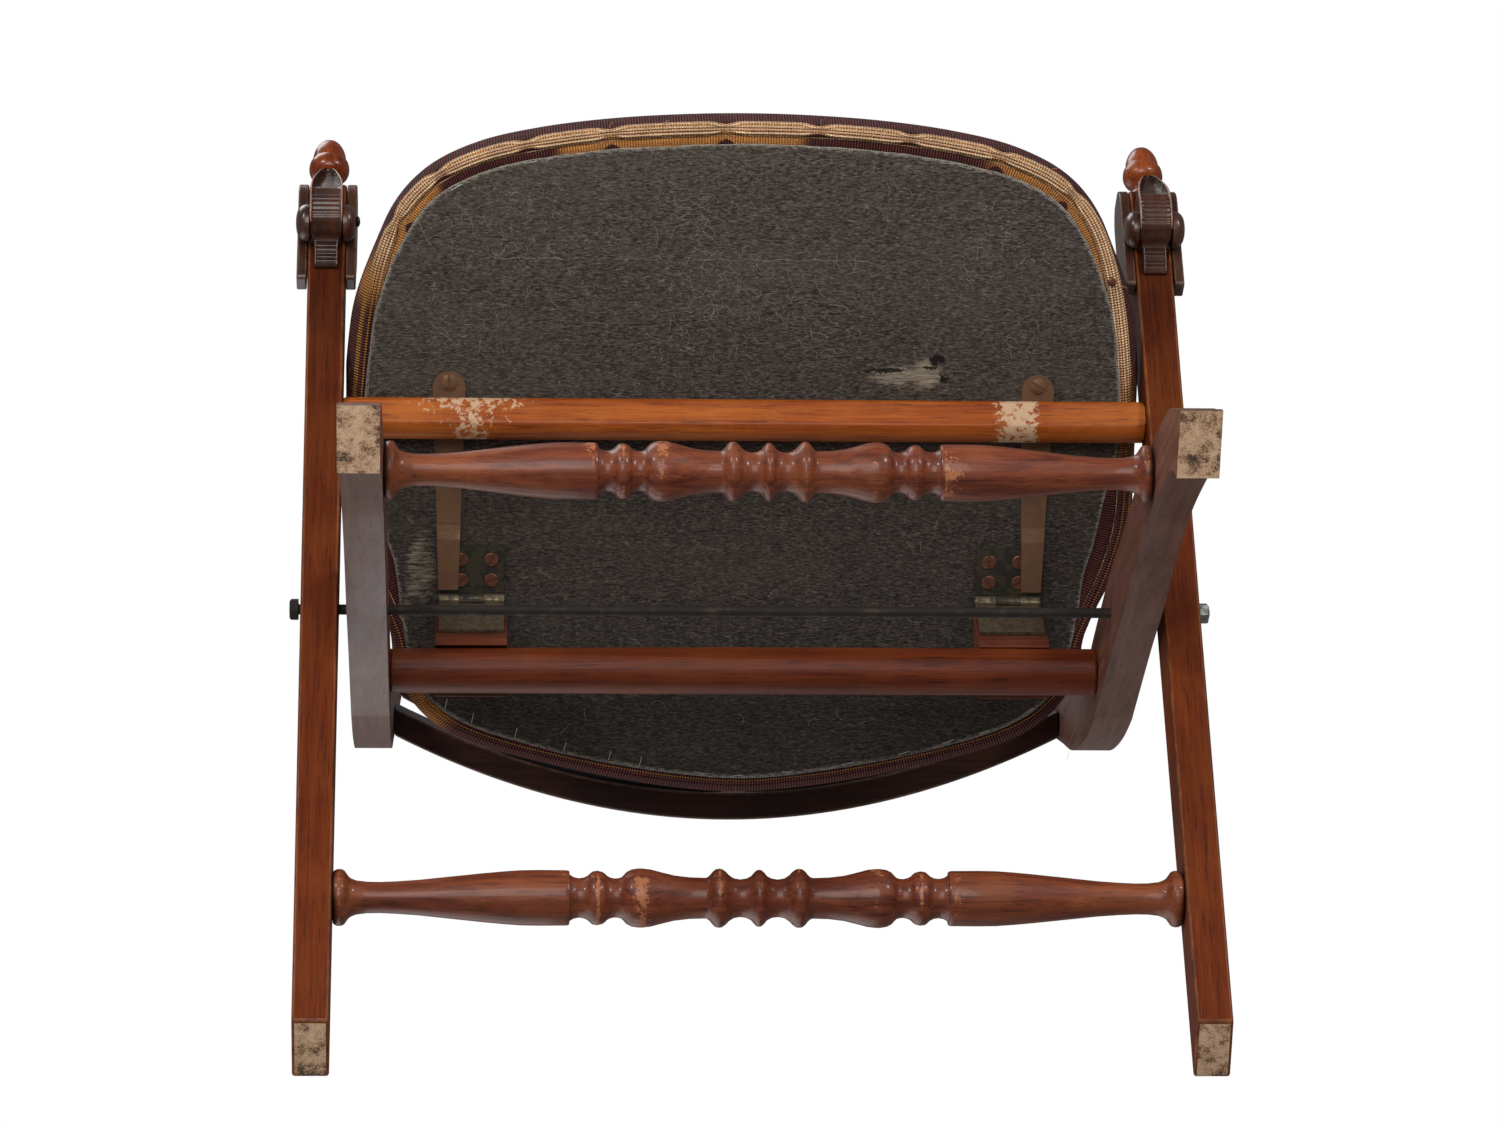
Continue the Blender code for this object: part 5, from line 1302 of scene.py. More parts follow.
@dataclass
class CrossLegs:
    """The two straight legs, from the rear feet to the arm tops."""

    layout: Layout
    shop: Shop
    depth: float = 0.033
    foot_depth: float = 0.0295
    foot_thick: float = 0.0198
    heel_round: float = 0.004
    reach: float = 0.297
    tip_flat: float = 0.44
    edge: float = 0.0016

    def sole(self, over: float) -> float:
        """Return how far along the leg the floor cuts it, at a place over its centre."""
        return -(self.layout.pivot.z + over * math.cos(self.layout.lean)) / math.sin(
            self.layout.lean)

    def tip(self, depth: float, steps: int = 20) -> list[tuple[float, float]]:
        """Return (over, along) points round the end of a leg or cheek."""
        half = depth / 2
        centre = self.reach - half * math.sqrt(1 - self.tip_flat ** 2)
        start = math.asin(self.tip_flat)
        under = []
        for step in range(steps + 1):
            turn = mix(math.pi / 2, start, step / steps)
            under.append((-half * math.sin(turn), centre + half * math.cos(turn)))
        return under + [(-over, along) for over, along in reversed(under)]

    def leg(self, side: Side) -> Mesh:
        """Return one leg, thinner at its foot on the outer face."""
        half = self.depth / 2
        heel = self.foot_depth - half
        line = [(-half, self.sole(-half))]
        line += self.tip(self.depth)
        line += [(half, 0.133), (mix(half, heel, 0.5), mix(0.133, self.sole(heel), 0.5))]
        steps = 6
        for step in range(steps + 1):
            turn = math.radians(90) * step / steps
            over = heel - self.heel_round * (1 - math.cos(turn)) * math.sin(self.layout.lean)
            along = self.sole(over) + self.heel_round * (1 - math.sin(turn))
            line.append((over, along))
        rings = []
        for share in (0.0, 1.0):
            ring = []
            for over, along in line:
                slim = (self.cross_slim(along)) * share
                x = side.value * mix(self.layout.cross_inner, self.layout.cross_outer, share)
                ring.append(self.layout.on_cross(x - side.value * slim, over, along))
            rings.append(ring)
        return loft(rings)

    def cross_slim(self, along: float) -> float:
        """Return how much thinner the leg is at a place along it."""
        full = self.layout.cross_thick - self.foot_thick
        return full * (self.reach - along) / (self.reach - self.sole(self.depth / 2))

    def build(self) -> None:
        """Build and dress both legs."""
        for side in Side:
            leg = self.shop.piece(f"straight_leg_{side.word}", self.leg(side),
                                  self.shop.finishes.leg_front, Body.CROSS,
                                  [f"cross_leg_{side.word}"], "walnut", self.edge,
                                  worn=self.shop.finishes.rubbed)
            paint_soles(leg, self.shop.finishes.sole)


@dataclass
class ArmTops:
    """What dresses each arm top: cheeks, carved scroll, buttons and acorn finial.

    The scroll's two sides stand up as thin rims, pale where they are rubbed, round a
    sunk neck; below it the drum is fluted and the block under the drum is reeded.
    """

    layout: Layout
    shop: Shop
    legs: CrossLegs
    cheek_thick: float = 0.0058
    cheek_length: float = 0.0755
    cheek_toe: float = 0.012
    scroll_setback: float = 0.069
    scroll_length: float = 0.071
    scroll_depth: float = 0.0255
    scroll_half: float = 0.0096
    button_radius: float = 0.0109
    button_height: float = 0.0078
    finial_radius: float = 0.0119
    finial_length: float = 0.0378
    knob_radius: float = 0.0032
    scroll_line: tuple = (
        (0.0, 0.06, 0.70), (0.02, 0.12, 0.70), (0.10, 0.20, 0.70), (0.205, 0.30, 0.72),
        (0.225, 0.36, 0.80), (0.235, 0.50, 0.97), (0.25, 0.62, 1.0), (0.275, 0.79, 1.0),
        (0.30, 0.87, 1.0), (0.33, 0.93, 1.0), (0.38, 0.965, 1.0), (0.43, 1.0, 1.0),
        (0.49, 1.0, 1.0), (0.54, 0.985, 1.0), (0.58, 0.955, 0.995), (0.62, 0.91, 0.985),
        (0.66, 0.86, 0.965), (0.70, 0.80, 0.93), (0.74, 0.73, 0.88), (0.78, 0.66, 0.81),
        (0.82, 0.58, 0.73), (0.86, 0.50, 0.64), (0.895, 0.43, 0.55), (0.93, 0.36, 0.45),
        (0.955, 0.305, 0.36), (0.98, 0.245, 0.25), (1.0, 0.16, 0.10))
    sink_line: tuple = (
        (0.0, 0.0), (0.235, 0.0), (0.26, 0.04), (0.50, 0.06), (0.585, 0.06), (0.615, 0.08),
        (0.635, 0.16), (0.655, 0.235), (0.70, 0.26), (0.80, 0.25), (0.90, 0.20), (0.96, 0.15),
        (1.0, 0.05))
    finial_line: tuple = (
        (0.0, 1.0), (0.09, 0.998), (0.20, 0.99), (0.33, 0.97), (0.46, 0.938), (0.57, 0.895),
        (0.66, 0.845), (0.74, 0.785), (0.795, 0.72), (0.825, 0.655), (0.832, 0.61),
        (0.85, 0.59), (0.90, 0.575), (0.955, 0.545), (0.99, 0.495), (1.0, 0.44), (0.985, 0.395),
        (0.93, 0.345), (0.84, 0.312), (0.72, 0.29), (0.62, 0.265), (0.565, 0.235),
        (0.54, 0.20), (0.545, 0.165), (0.57, 0.135), (0.62, 0.11), (0.70, 0.09), (0.735, 0.065),
        (0.745, 0.03), (0.745, 0.0), (0.0, 0.0))

    def cheek(self) -> list[tuple[float, float]]:
        """Return a cheek's (over, along) outline."""
        half = self.legs.depth / 2
        start = self.legs.reach - self.cheek_length
        heel = smooth_line([
            (half, mix(start, self.legs.reach, 0.62)),
            (mix(-half, half, 0.90), mix(start, self.legs.reach, 0.40)),
            (mix(-half, half, 0.60), mix(start, self.legs.reach, 0.20)),
            (self.cheek_toe - half, start)], 8)
        toe = [(1.3 * MM - half, start), (-half, start + 1.3 * MM)]
        return self.legs.tip(self.legs.depth) + list(heel) + toe

    @staticmethod
    def pick(line: Sequence[Sequence[float]], at: float) -> list[float]:
        """Return a table's values at a place, between its rows."""
        for low, high in zip(line, line[1:]):
            if at <= high[0]:
                share = (at - low[0]) / (high[0] - low[0])
                return [mix(a, b, share) for a, b in zip(low[1:], high[1:])]
        return list(line[-1][1:])

    def carved_depth(self, along: float) -> float:
        """Return what the flutes and reeds cut at a place along the scroll."""
        if 0.02 < along < 0.2:
            return 0.045 * abs(math.sin(math.pi * along / 0.031))
        if 0.30 < along < 0.56:
            return 0.022 * (0.5 - 0.5 * math.cos(math.tau * (along - 0.30) / 0.043))
        return 0.0

    def scroll(self, x: float) -> tuple[Mesh, list[float]]:
        """Return the carved scroll under an arm top, centred at x, and its rubbing."""
        under = -self.legs.depth / 2 - self.layout.fit
        start = self.legs.reach - self.scroll_setback
        rim = ((-1.0, 0.0), (-1.0, 0.45), (-1.0, 0.75), (-1.0, 0.93), (-0.99, 0.98),
               (-0.955, 1.0), (-0.90, 1.0), (-0.865, 0.985))
        floor = (-0.845, -0.80, -0.60, -0.30, 0.0)
        rings, rubbing = [], []
        steps = 150
        for step in range(steps + 1):
            along = step / steps
            depth, width = self.pick(self.scroll_line, along)
            sink = self.pick(self.sink_line, along)[0]
            cut = self.carved_depth(along)
            half = [(across, depth * down) for across, down in rim]
            half += [(across, depth - sink * (0.9 if across < -0.82 else 1.0)
                      - cut + 0.02 * sink * across) for across in floor]
            whole = half + [(-across, down) for across, down in reversed(half[:-1])]
            rings.append([self.layout.on_cross(
                x + across * width * self.scroll_half, under - down * self.scroll_depth,
                start + along * self.scroll_length) for across, down in whole])
            strong = 0.74 if along > 0.27 else 0.1
            for across, _ in whole:
                rubbing.append(strong if 0.9 <= abs(across) < 0.995 else 0.0)
        return loft(rings), rubbing

    def knob(self, seat: Vector, way: Vector) -> Mesh:
        """Return the small dark knob on the left inner button."""
        shares = ((0.0, 0.0), (0.0, 0.7), (0.15, 0.92), (0.35, 1.0), (0.6, 0.93), (0.82, 0.68),
                  (0.95, 0.35), (1.0, 0.0))
        return lathe([(up * 0.7 * self.knob_radius, radius * self.knob_radius)
                      for up, radius in shares], seat, way, 24)

    def build(self) -> None:
        """Build and dress both arm tops."""
        lay = self.layout
        finish = self.shop.finishes
        outline = self.cheek()
        offset = lay.cross_thick / 2 + lay.fit
        start = self.legs.reach - self.scroll_setback
        along = start + self.scroll_length * 0.346
        drop = -(self.legs.depth / 2 + lay.fit + self.scroll_depth * 0.445)
        for side in Side:
            middle = side.value * lay.cross_middle
            for where, turn in (("outer", side.value), ("inner", -side.value)):
                near = middle + turn * offset
                rings = [[lay.on_cross(x, over, up) for over, up in outline]
                         for x in (near, near + turn * self.cheek_thick)]
                self.shop.piece(f"ear_{where}_{side.word}", loft(rings), finish.carved,
                                Body.CROSS, [f"cheek_{where}_{side.word}"], "dark_walnut",
                                1.3 * MM, worn=finish.rubbed_dark)
                seat = lay.on_cross(middle + turn * (self.scroll_half + lay.fit), drop, along)
                way = Vector((turn, 0.0, 0.0))
                self.shop.piece(f"boss_{where}_{side.word}", lathe(self.boss(), seat, way, 48),
                                finish.carved, Body.CROSS, [f"button_{where}_{side.word}"],
                                "dark_walnut")
                if side is Side.LEFT and where == "inner":
                    apex = seat + way * (self.button_height - 0.3 * MM)
                    apex += lay.over_cross * -1.5 * MM
                    self.shop.piece("knob_inner_left", self.knob(apex, way), finish.ebony,
                                    Body.CROSS, slot="dark_walnut")
            mesh, rubbing = self.scroll(middle)
            made = self.shop.piece(f"carving_{side.word}", mesh, finish.carved,
                                   Body.CROSS, [f"scroll_{side.word}"], "walnut", sharp=55.0)
            mark(made, "rub", rubbing)
            base = lay.on_cross(middle, 0.0, self.legs.reach + lay.fit)
            profile = [(up * self.finial_length, radius * self.finial_radius)
                       for radius, up in self.finial_line]
            self.shop.piece(f"acorn_{side.word}", lathe(profile, base, lay.up_cross, 64),
                            finish.finial, Body.CROSS, [f"finial_{side.word}"], "walnut")

    def boss(self) -> list[tuple[float, float]]:
        """Return the profile of a button, flat on its seat and rounded over."""
        shares = ((0.0, 0.0), (0.0, 1.0), (0.10, 1.0), (0.28, 1.0), (0.45, 0.965), (0.60, 0.90),
                  (0.75, 0.79), (0.86, 0.66), (0.93, 0.50), (0.97, 0.34), (0.99, 0.18),
                  (1.0, 0.0))
        return [(up * self.button_height, radius * self.button_radius) for up, radius in shares]


@dataclass
class Ironwork:
    """Pivot bolt, nut, hinges, runners and their slotted screws."""

    layout: Layout
    shop: Shop
    bolt_radius: float = 0.0029
    nut_radius: float = 0.0062
    nut_height: float = 0.0053
    head_radius: float = 0.0064
    head_height: float = 0.005
    screw_radius: float = 0.0041
    hinge_middle: float = 0.157
    runner_middle: float = 0.1705
    runner_under: float = 0.0013

    def prism(self, radius: float, near: float, far: float, chamfer: float) -> Mesh:
        """Return a six-sided prism across the chair, chamfered at its far end."""
        origin = Vector((0.0, self.layout.pivot.y, self.layout.pivot.z))
        turn = 1 if far > near else -1
        rings = []
        for x, size in ((near, radius), (far - turn * chamfer, radius),
                        (far, radius - chamfer * 1.4)):
            rings.append([origin + Vector((x, size * math.cos(math.tau * (k + 0.25) / 6),
                                           size * math.sin(math.tau * (k + 0.25) / 6)))
                          for k in range(6)])
        return loft(rings)

    def screw(self, centre: Vector, down: Vector, slot_turn: float, radius: float) -> Mesh:
        """Return a slotted screw head.

        Args:
            centre: the middle of its seat.
            down: the way that it stands out.
            slot_turn: the slot's direction about that, in degrees.
            radius: its radius.

        Returns:
            The vertices and faces.
        """
        side = Vector((1.0, 0.0, 0.0))
        other = down.cross(side).normalized()
        turn = math.radians(slot_turn)
        slot = side * math.cos(turn) + other * math.sin(turn)
        normal = down.cross(slot).normalized()
        gap = radius * 0.16
        rise = 0.9 * MM
        parts = [lathe([(0.0, 0.0), (0.0, radius * 0.98), (rise * 0.2, radius * 0.97),
                        (rise * 0.2, 0.0)], centre, down, 32)]
        limit = math.asin(gap / radius)
        for way in (1, -1):
            rings = []
            for level, size in ((0.0, 1.0), (rise * 0.7, 0.99), (rise, 0.9)):
                ring = []
                for step in range(17):
                    angle = mix(limit, math.pi - limit, step / 16)
                    reach = max(radius * size * math.sin(angle), gap)
                    ring.append(centre + down * level + slot * (radius * size * math.cos(angle))
                                + normal * (way * reach))
                rings.append(ring)
            parts.append(loft(rings))
        return joined(parts)

    def build(self) -> None:
        """Build and dress the iron and steel."""
        lay = self.layout
        finish = self.shop.finishes
        grip = lay.cross_outer + lay.fit
        end = grip + self.nut_height + 0.6 * MM
        shaft = lathe([(-grip, 0.0), (-grip, self.bolt_radius), (end - 0.6 * MM, self.bolt_radius),
                       (end, self.bolt_radius - 0.5 * MM), (end, 0.0)],
                      lay.pivot, Vector((1.0, 0.0, 0.0)), 32)
        head = self.prism(self.head_radius, -grip, -grip - self.head_height, 0.9 * MM)
        self.shop.piece("long_bolt", joined([shaft, head]), finish.bolt, Body.BACK,
                        ["pivot_bolt"], "bolt_iron")
        nut = self.prism(self.nut_radius, grip, grip + self.nut_height, 0.8 * MM)
        self.shop.piece("bolt_nut", nut, finish.nut, Body.BACK, ["pivot_nut"], "nut_zinc", 0.3 * MM)
        for node in ("block_leaf_left", "block_leaf_right"):
            self.shop.dress(node, finish.lower_hinge)
        for node in ("hinge_pin_left", "hinge_pin_right", "seat_leaf_left", "seat_leaf_right"):
            self.shop.dress(node, finish.hinge)
        for node in ("runner_left", "runner_right"):
            self.shop.dress(node, finish.runner)
        for node in ("hinge_block_left", "hinge_block_right"):
            self.shop.dress(node, finish.block)
        down = -lay.seat_up
        turns = {Side.LEFT: (65.0, 20.0, 55.0, 35.0, 90.0), Side.RIGHT: (90.0, -60.0, 80.0, 30.0,
                                                                         -35.0)}
        for side in Side:
            heads = []
            places = [(side.value * (self.hinge_middle - side_in), back)
                      for side_in, back in ((11.5 * MM, -24 * MM), (11.5 * MM, -11.5 * MM),
                                            (-6 * MM, -24 * MM), (-6 * MM, -11.5 * MM))]
            for (x, back), turn in zip(places, turns[side]):
                heads.append(self.screw(lay.on_seat(x, back, 1.65 * MM), down, turn,
                                        self.screw_radius))
            self.shop.piece(f"hinge_screws_{side.word}", joined(heads), finish.screw, Body.SEAT)
            nose = self.screw(lay.on_seat(side.value * self.runner_middle, -131 * MM,
                                          self.runner_under), down, turns[side][4],
                              self.screw_radius * 1.15)
            self.shop.piece(f"runner_screw_{side.word}", nose, finish.runner, Body.SEAT)


SEAT_FRONT = (
    (1.0, 0.0), (0.9965, 0.175), (0.9865, 0.35), (0.968, 0.52), (0.938, 0.676), (0.887, 0.803),
    (0.812, 0.888), (0.71, 0.940), (0.585, 0.970), (0.455, 0.987), (0.315, 1.0),
    (0.175, 0.998), (0.07, 0.968), (0.0, 0.935))
SEAT_REAR = (
    (0.13, 0.907), (0.23, 0.889), (0.385, 0.873), (0.513, 0.841), (0.65, 0.770),
    (0.752, 0.665), (0.846, 0.50), (0.923, 0.325), (0.974, 0.165), (1.0, 0.0))
LIP = (
    (15.5, 5.0, 0.0), (14.2, 4.8, 0.0), (13.0, 4.6, 0.1), (11.6, 4.25, 0.3), (10.4, 4.1, 0.4),
    (9.5, 4.2, 0.4), (8.9, 4.7, 0.3), (8.4, 5.7, 0.1), (7.9, 4.7, 0.3), (7.3, 3.9, 0.6),
    (6.9, 3.2, 0.8), (6.3, 2.8, 0.9), (5.7, 3.1, 0.9), (5.35, 3.9, 0.9), (5.0, 3.1, 1.0),
    (4.4, 2.8, 1.0), (3.8, 3.1, 0.9), (3.5, 3.9, 0.9), (3.1, 3.2, 0.8), (2.5, 2.95, 0.7),
    (2.0, 3.5, 0.5), (1.6, 4.6, 0.3), (1.2, 5.1, 0.2), (0.8, 4.9, 0.3), (0.4, 5.8, 0.3),
    (0.0, 8.0, 0.25), (-0.4, 12.0, 0.15))
WALL = (
    (-0.8, 17.5, 0.1), (-0.7, 22.0, 0.0), (0.2, 27.5, 0.0), (2.0, 32.0, 0.0), (4.5, 35.2, 0.0),
    (6.2, 36.4, 0.0), (7.4, 37.6, 0.0), (8.4, 38.6, 0.0))
CROWN = (
    (0.03, 0.10), (0.07, 0.26), (0.12, 0.42), (0.18, 0.56), (0.25, 0.67), (0.33, 0.77),
    (0.42, 0.85), (0.52, 0.915), (0.63, 0.958), (0.74, 0.985), (0.85, 0.997), (0.93, 1.0))
PINCHES = ((-0.208, -0.228), (-0.178, -0.256), (-0.128, -0.272), (-0.078, -0.281),
           (-0.014, -0.285), (0.039, -0.284), (0.093, -0.281), (0.145, -0.268), (0.182, -0.24))


def smooth_step(value: float, low: float, high: float) -> float:
    """Return a soft rise from 0 to 1 as a value goes from low to high."""
    share = min(max((value - low) / (high - low), 0.0), 1.0)
    return share * share * (3 - 2 * share)


@dataclass
class Upholstery:
    """The stuffed seat, its turned-under cover, the dust cover, staples and lint."""

    layout: Layout
    shop: Shop
    front: float = 0.2855
    rear: float = 0.117
    seed: int = 7
    outline_steps: int = 12
    hug: float = 0.0004
    cloth_up: float = 0.00395
    coarse: int = 4
    pressure: float = 1.0
    wall_give: float = 0.0006
    wall_limit: float = 0.2294
    crown_give: float = 0.006
    wear_spots: tuple = ((0.094, -0.138, 0.024, 0.013, 0.75), (-0.187, -0.018, 0.011, 0.026, 0.62),
                         (0.03, -0.203, 0.05, 0.006, 0.22))
    rear_staples: tuple = ((-0.178, 0.072), (-0.157, 0.077), (-0.131, 0.089), (-0.103, 0.096),
                           (-0.075, 0.101), (-0.057, 0.104))
    edge_staples: tuple = (
        (-0.022, 0.115), (-0.001, 0.116), (0.032, 0.115), (0.067, 0.108), (0.100, 0.101),
        (0.126, 0.094), (0.147, 0.086), (0.175, 0.072), (-0.222, -0.180), (-0.222, -0.155),
        (-0.222, -0.128), (-0.215, -0.215), (-0.172, -0.255), (-0.128, -0.27), (0.115, -0.275),
        (0.128, -0.27), (0.146, -0.262), (0.163, -0.252), (0.176, -0.243), (0.189, -0.23),
        (0.224, -0.15), (0.205, 0.012), (-0.203, 0.02))
    line: list = field(default_factory=list)

    def __post_init__(self) -> None:
        """Work out the outline and how far along it each point lies."""
        half = [(-along * self.front, width * self.layout.seat_half)
                for along, width in SEAT_FRONT]
        half += [(along * self.rear, width * self.layout.seat_half) for along, width in SEAT_REAR]
        outline = [(width, back) for back, width in half]
        outline += [(-width, back) for back, width in reversed(half[1:-1])]
        self.line = [Vector((x, y)) for x, y in smooth_line(outline, self.outline_steps, True)]
        count = len(self.line)
        self.normals = []
        for i in range(count):
            along = (self.line[(i + 1) % count] - self.line[i - 1]).normalized()
            self.normals.append(Vector((-along.y, along.x)))
        self.arcs = [0.0]
        for i in range(1, count):
            self.arcs.append(self.arcs[-1] + (self.line[i] - self.line[i - 1]).length)
        self.round = self.arcs[-1] + (self.line[0] - self.line[-1]).length
        self.pinch_arcs = [self.arcs[self.nearest(x, y)] for x, y in PINCHES]
        self.pinches = [self.pinch(i) for i in range(count)]

    def nearest(self, x: float, y: float) -> int:
        """Return the index of the outline point nearest to a place."""
        return min(range(len(self.line)), key=lambda k: (self.line[k] - Vector((x, y))).length)

    def tangent(self, i: int) -> Vector:
        """Return the outline's direction at a point."""
        count = len(self.line)
        return (self.line[(i + 1) % count] - self.line[i - 1]).normalized()

    def inset_point(self, i: int, inset: float) -> Vector:
        """Return the outline's point drawn in by an inset."""
        return self.line[i] + self.normals[i] * inset

    def pinch(self, i: int) -> float:
        """Return how tightly the cover is pinched at an outline point, 0 to 1."""
        tight = 0.0
        for arc in self.pinch_arcs:
            away = abs(self.arcs[i] - arc)
            away = min(away, self.round - away)
            tight = max(tight, math.exp(-(away / (5.0 * MM)) ** 2))
        return tight

    def tan_here(self, i: int) -> float:
        """Return how far the tan band is woven at an outline point, 0 to 1."""
        x, y = self.line[i]
        if x > 0:
            return 1 - smooth_step(y, -0.150, -0.105)
        return 1 - smooth_step(y, -0.215, -0.180)

    def gold_here(self, i: int) -> float:
        """Return how far the gold weave shows at an outline point, 0 to 1."""
        x, y = self.line[i]
        middle = smooth_step(x, -0.114, -0.106) * (1 - smooth_step(x, 0.026, 0.036))
        front = middle if y < -0.2 else 0.0
        left = (1 - smooth_step(x, -0.186, -0.180)) * (1 - smooth_step(y, -0.195, -0.170))
        right = smooth_step(x, 0.135, 0.150) * (1 - smooth_step(y, -0.110, -0.080))
        rear = smooth_step(y, 0.030, 0.045) * smooth_step(-x, 0.165, 0.180)
        return max(front, left, right * 0.9, rear * 0.7)

    def bulge(self, i: int) -> float:
        """Return how far the stuffing pushes the wall out at a point, in millimetres.

        Beside the straight legs it fills the room up to them, less a small gap.
        """
        x, y = self.line[i]
        beside = smooth_step(y, -0.22, -0.165) * (1 - smooth_step(y, -0.03, 0.01))
        room = (self.wall_limit - abs(x)) / MM
        behind = 3.2 * smooth_step(y, 0.0, 0.06) + 3.4 * smooth_step(y, 0.045, 0.085)
        return max(beside * min(max(room, 0.0), 5.5), behind)

    def crown_point(self, i: int, shrink: float, up: float) -> Vector:
        """Return a point of the crown over the stuffing."""
        base = self.inset_point(i, 8.4 * MM)
        middle = (self.rear - self.front) / 2
        x, y = mix(base.x, 0.0, shrink), mix(base.y, middle, shrink)
        sag = 0.9 * MM * noise.noise(Vector((x * 16, y * 16, 1.7)))
        return self.layout.on_seat(x, y, 38.6 * MM + 15.0 * MM * up + sag)

    def stuffed(self, rings: list[Ring]) -> list[Ring]:
        """Return the upper rings filled out by their stuffing.

        A coarse copy is blown up as cloth, held at its lowest ring. The fine rings take
        its movement, which is kept small at the wall, beside the legs.

        Args:
            rings: the wall's upper rings and the crown's.

        Returns:
            The moved rings.
        """
        verts, faces = loft([ring[::self.coarse] for ring in rings])
        size = len(rings[0]) // self.coarse
        data = bpy.data.meshes.new("stuffing")
        data.from_pydata([tuple(v) for v in verts], [], faces)
        pad = bpy.data.objects.new("stuffing", data)
        bpy.context.scene.collection.objects.link(pad)
        held = pad.vertex_groups.new(name="held")
        held.add(list(range(size)), 1.0, "REPLACE")
        settings = pad.modifiers.new("stuffing", "CLOTH").settings
        settings.vertex_group_mass = "held"
        settings.use_pressure = True
        settings.uniform_pressure_force = self.pressure
        settings.shrink_min = -0.015
        settings.effector_weights.gravity = 0.0
        for tick in range(1, 21):
            bpy.context.scene.frame_set(tick)
        blown = pad.evaluated_get(bpy.context.evaluated_depsgraph_get()).data
        shifts = [blown.vertices[i].co - vert for i, vert in enumerate(verts)]
        bpy.context.scene.frame_set(1)
        bpy.data.objects.remove(pad)
        bpy.data.meshes.remove(data)
        LOG.info("stuffing moved the cover by up to %.1f mm",
                 max(shift.length for shift in shifts) / MM)
        top = len(rings) - 4
        level = sum(shifts[top * size:(top + 1) * size], Vector()) / size
        for k in range((top + 1) * size, len(shifts)):
            shifts[k] = level.copy()
        filled = []
        for row, ring in enumerate(rings):
            limit = self.wall_give if row < len(rings) - len(CROWN) else self.crown_give
            new = []
            for i, point in enumerate(ring):
                near, share = divmod(i, self.coarse)
                after = row * size + (near + 1) % size
                shift = shifts[row * size + near].lerp(shifts[after], share / self.coarse)
                if shift.length > limit:
                    shift = shift.normalized() * limit
                new.append(point + shift)
            filled.append(new)
        return filled

    def cushion(self) -> bpy.types.Object:
        """Build the stuffed seat with its cover turned under the board's edge."""
        lay = self.layout
        count = len(self.line)
        rings: list[Ring] = []
        across: list[float] = []
        previous = None
        for inset, height, bumpy in LIP + WALL:
            ring = []
            for i in range(count):
                wander = noise.noise(Vector((self.arcs[i] * 42, inset * 0.21, 3.1)))
                wide = noise.noise(Vector((self.arcs[i] * 13, inset * 0.1, 8.4)))
                lift = bumpy * (wander * 0.5 + wide * 0.4 + self.pinches[i] * 1.1)
                pull = bumpy * (wide * 0.5)
                swell = max(0.0, 1 - ((height - 18) / 13) ** 2) * self.bulge(i)
                point = self.inset_point(i, (inset + pull - swell) * MM)
                ring.append(lay.on_seat(point.x, point.y, (height + lift) * MM))
            rings.append(ring)
            if inset >= 0.8 and height < 12:
                across.append(LIP[0][0] - inset)
            else:
                across.append(across[-1] + math.hypot(inset - previous[0],
                                                      height - previous[1]))
            previous = (inset, height)
        for shrink, up in CROWN:
            rings.append([self.crown_point(i, shrink, up) for i in range(count)])
            across.append(across[-1] + 14.0)
        first = len(LIP) + 2
        rings[first:] = self.stuffed(rings[first:])
        made = self.shop.piece("stuffed_seat", loft(rings), self.shop.finishes.weave, Body.SEAT,
                               ["cushion"], "seat_fabric", sharp=80.0)
        tan = [self.tan_here(i) for i in range(count)]
        middle = (BandedWeave.outer_mm + BandedWeave.inner_mm) / 2
        drawn = [middle + (value - middle) * (1 + 1.2 * self.pinches[i] * tan[i])
                 if value < 22 else value for value in across for i in range(count)]
        mark(made, "across", drawn)
        mark(made, "along", [min(arc, self.round - arc) / MM for arc in self.arcs] * len(across))
        mark(made, "tan", tan * len(across))
        gold = [self.gold_here(i) for i in range(count)]
        mark(made, "gold", [share if value < 24 else 0.0 for value in across for share in gold])
        return made

    def lip_height(self, inset: float) -> float:
        """Return how high the turned-under cover lies at an inset."""
        for outer, inner in zip(LIP[1:], LIP):
            if outer[0] * MM <= inset <= inner[0] * MM:
                share = (inset / MM - outer[0]) / (inner[0] - outer[0])
                return mix(outer[1], inner[1], share) * MM
        return LIP[0][1] * MM

    def dust_edge(self, i: int) -> float:
        """Return the dust cover's inset at an outline point, hand-cut and uneven."""
        x, y = self.line[i]
        front = 1 - smooth_step(y, -0.235, -0.160)
        hips = smooth_step(y, -0.115, -0.045) * (1 - smooth_step(y, -0.02, 0.03))
        rear = smooth_step(y, 0.02, 0.07)
        inset = 6.4 + 6.6 * front + 11.0 * hips - 0.4 * rear
        uneven = noise.noise(Vector((self.arcs[i] * 16, 5.5, 2.2)))
        fine = noise.noise(Vector((self.arcs[i] * 70, 1.5, 7.2)))
        return max(5.2, inset + 0.9 * uneven + 0.45 * fine) * MM

    @staticmethod
    def spot(x: float, y: float, spots: Sequence[Sequence[float]]) -> float:
        """Return how strongly any of the oval spots marks a place."""
        return max(amount * math.exp(-(((x - cx) / rx) ** 2 + ((y - cy) / ry) ** 2))
                   for cx, cy, rx, ry, amount in spots)

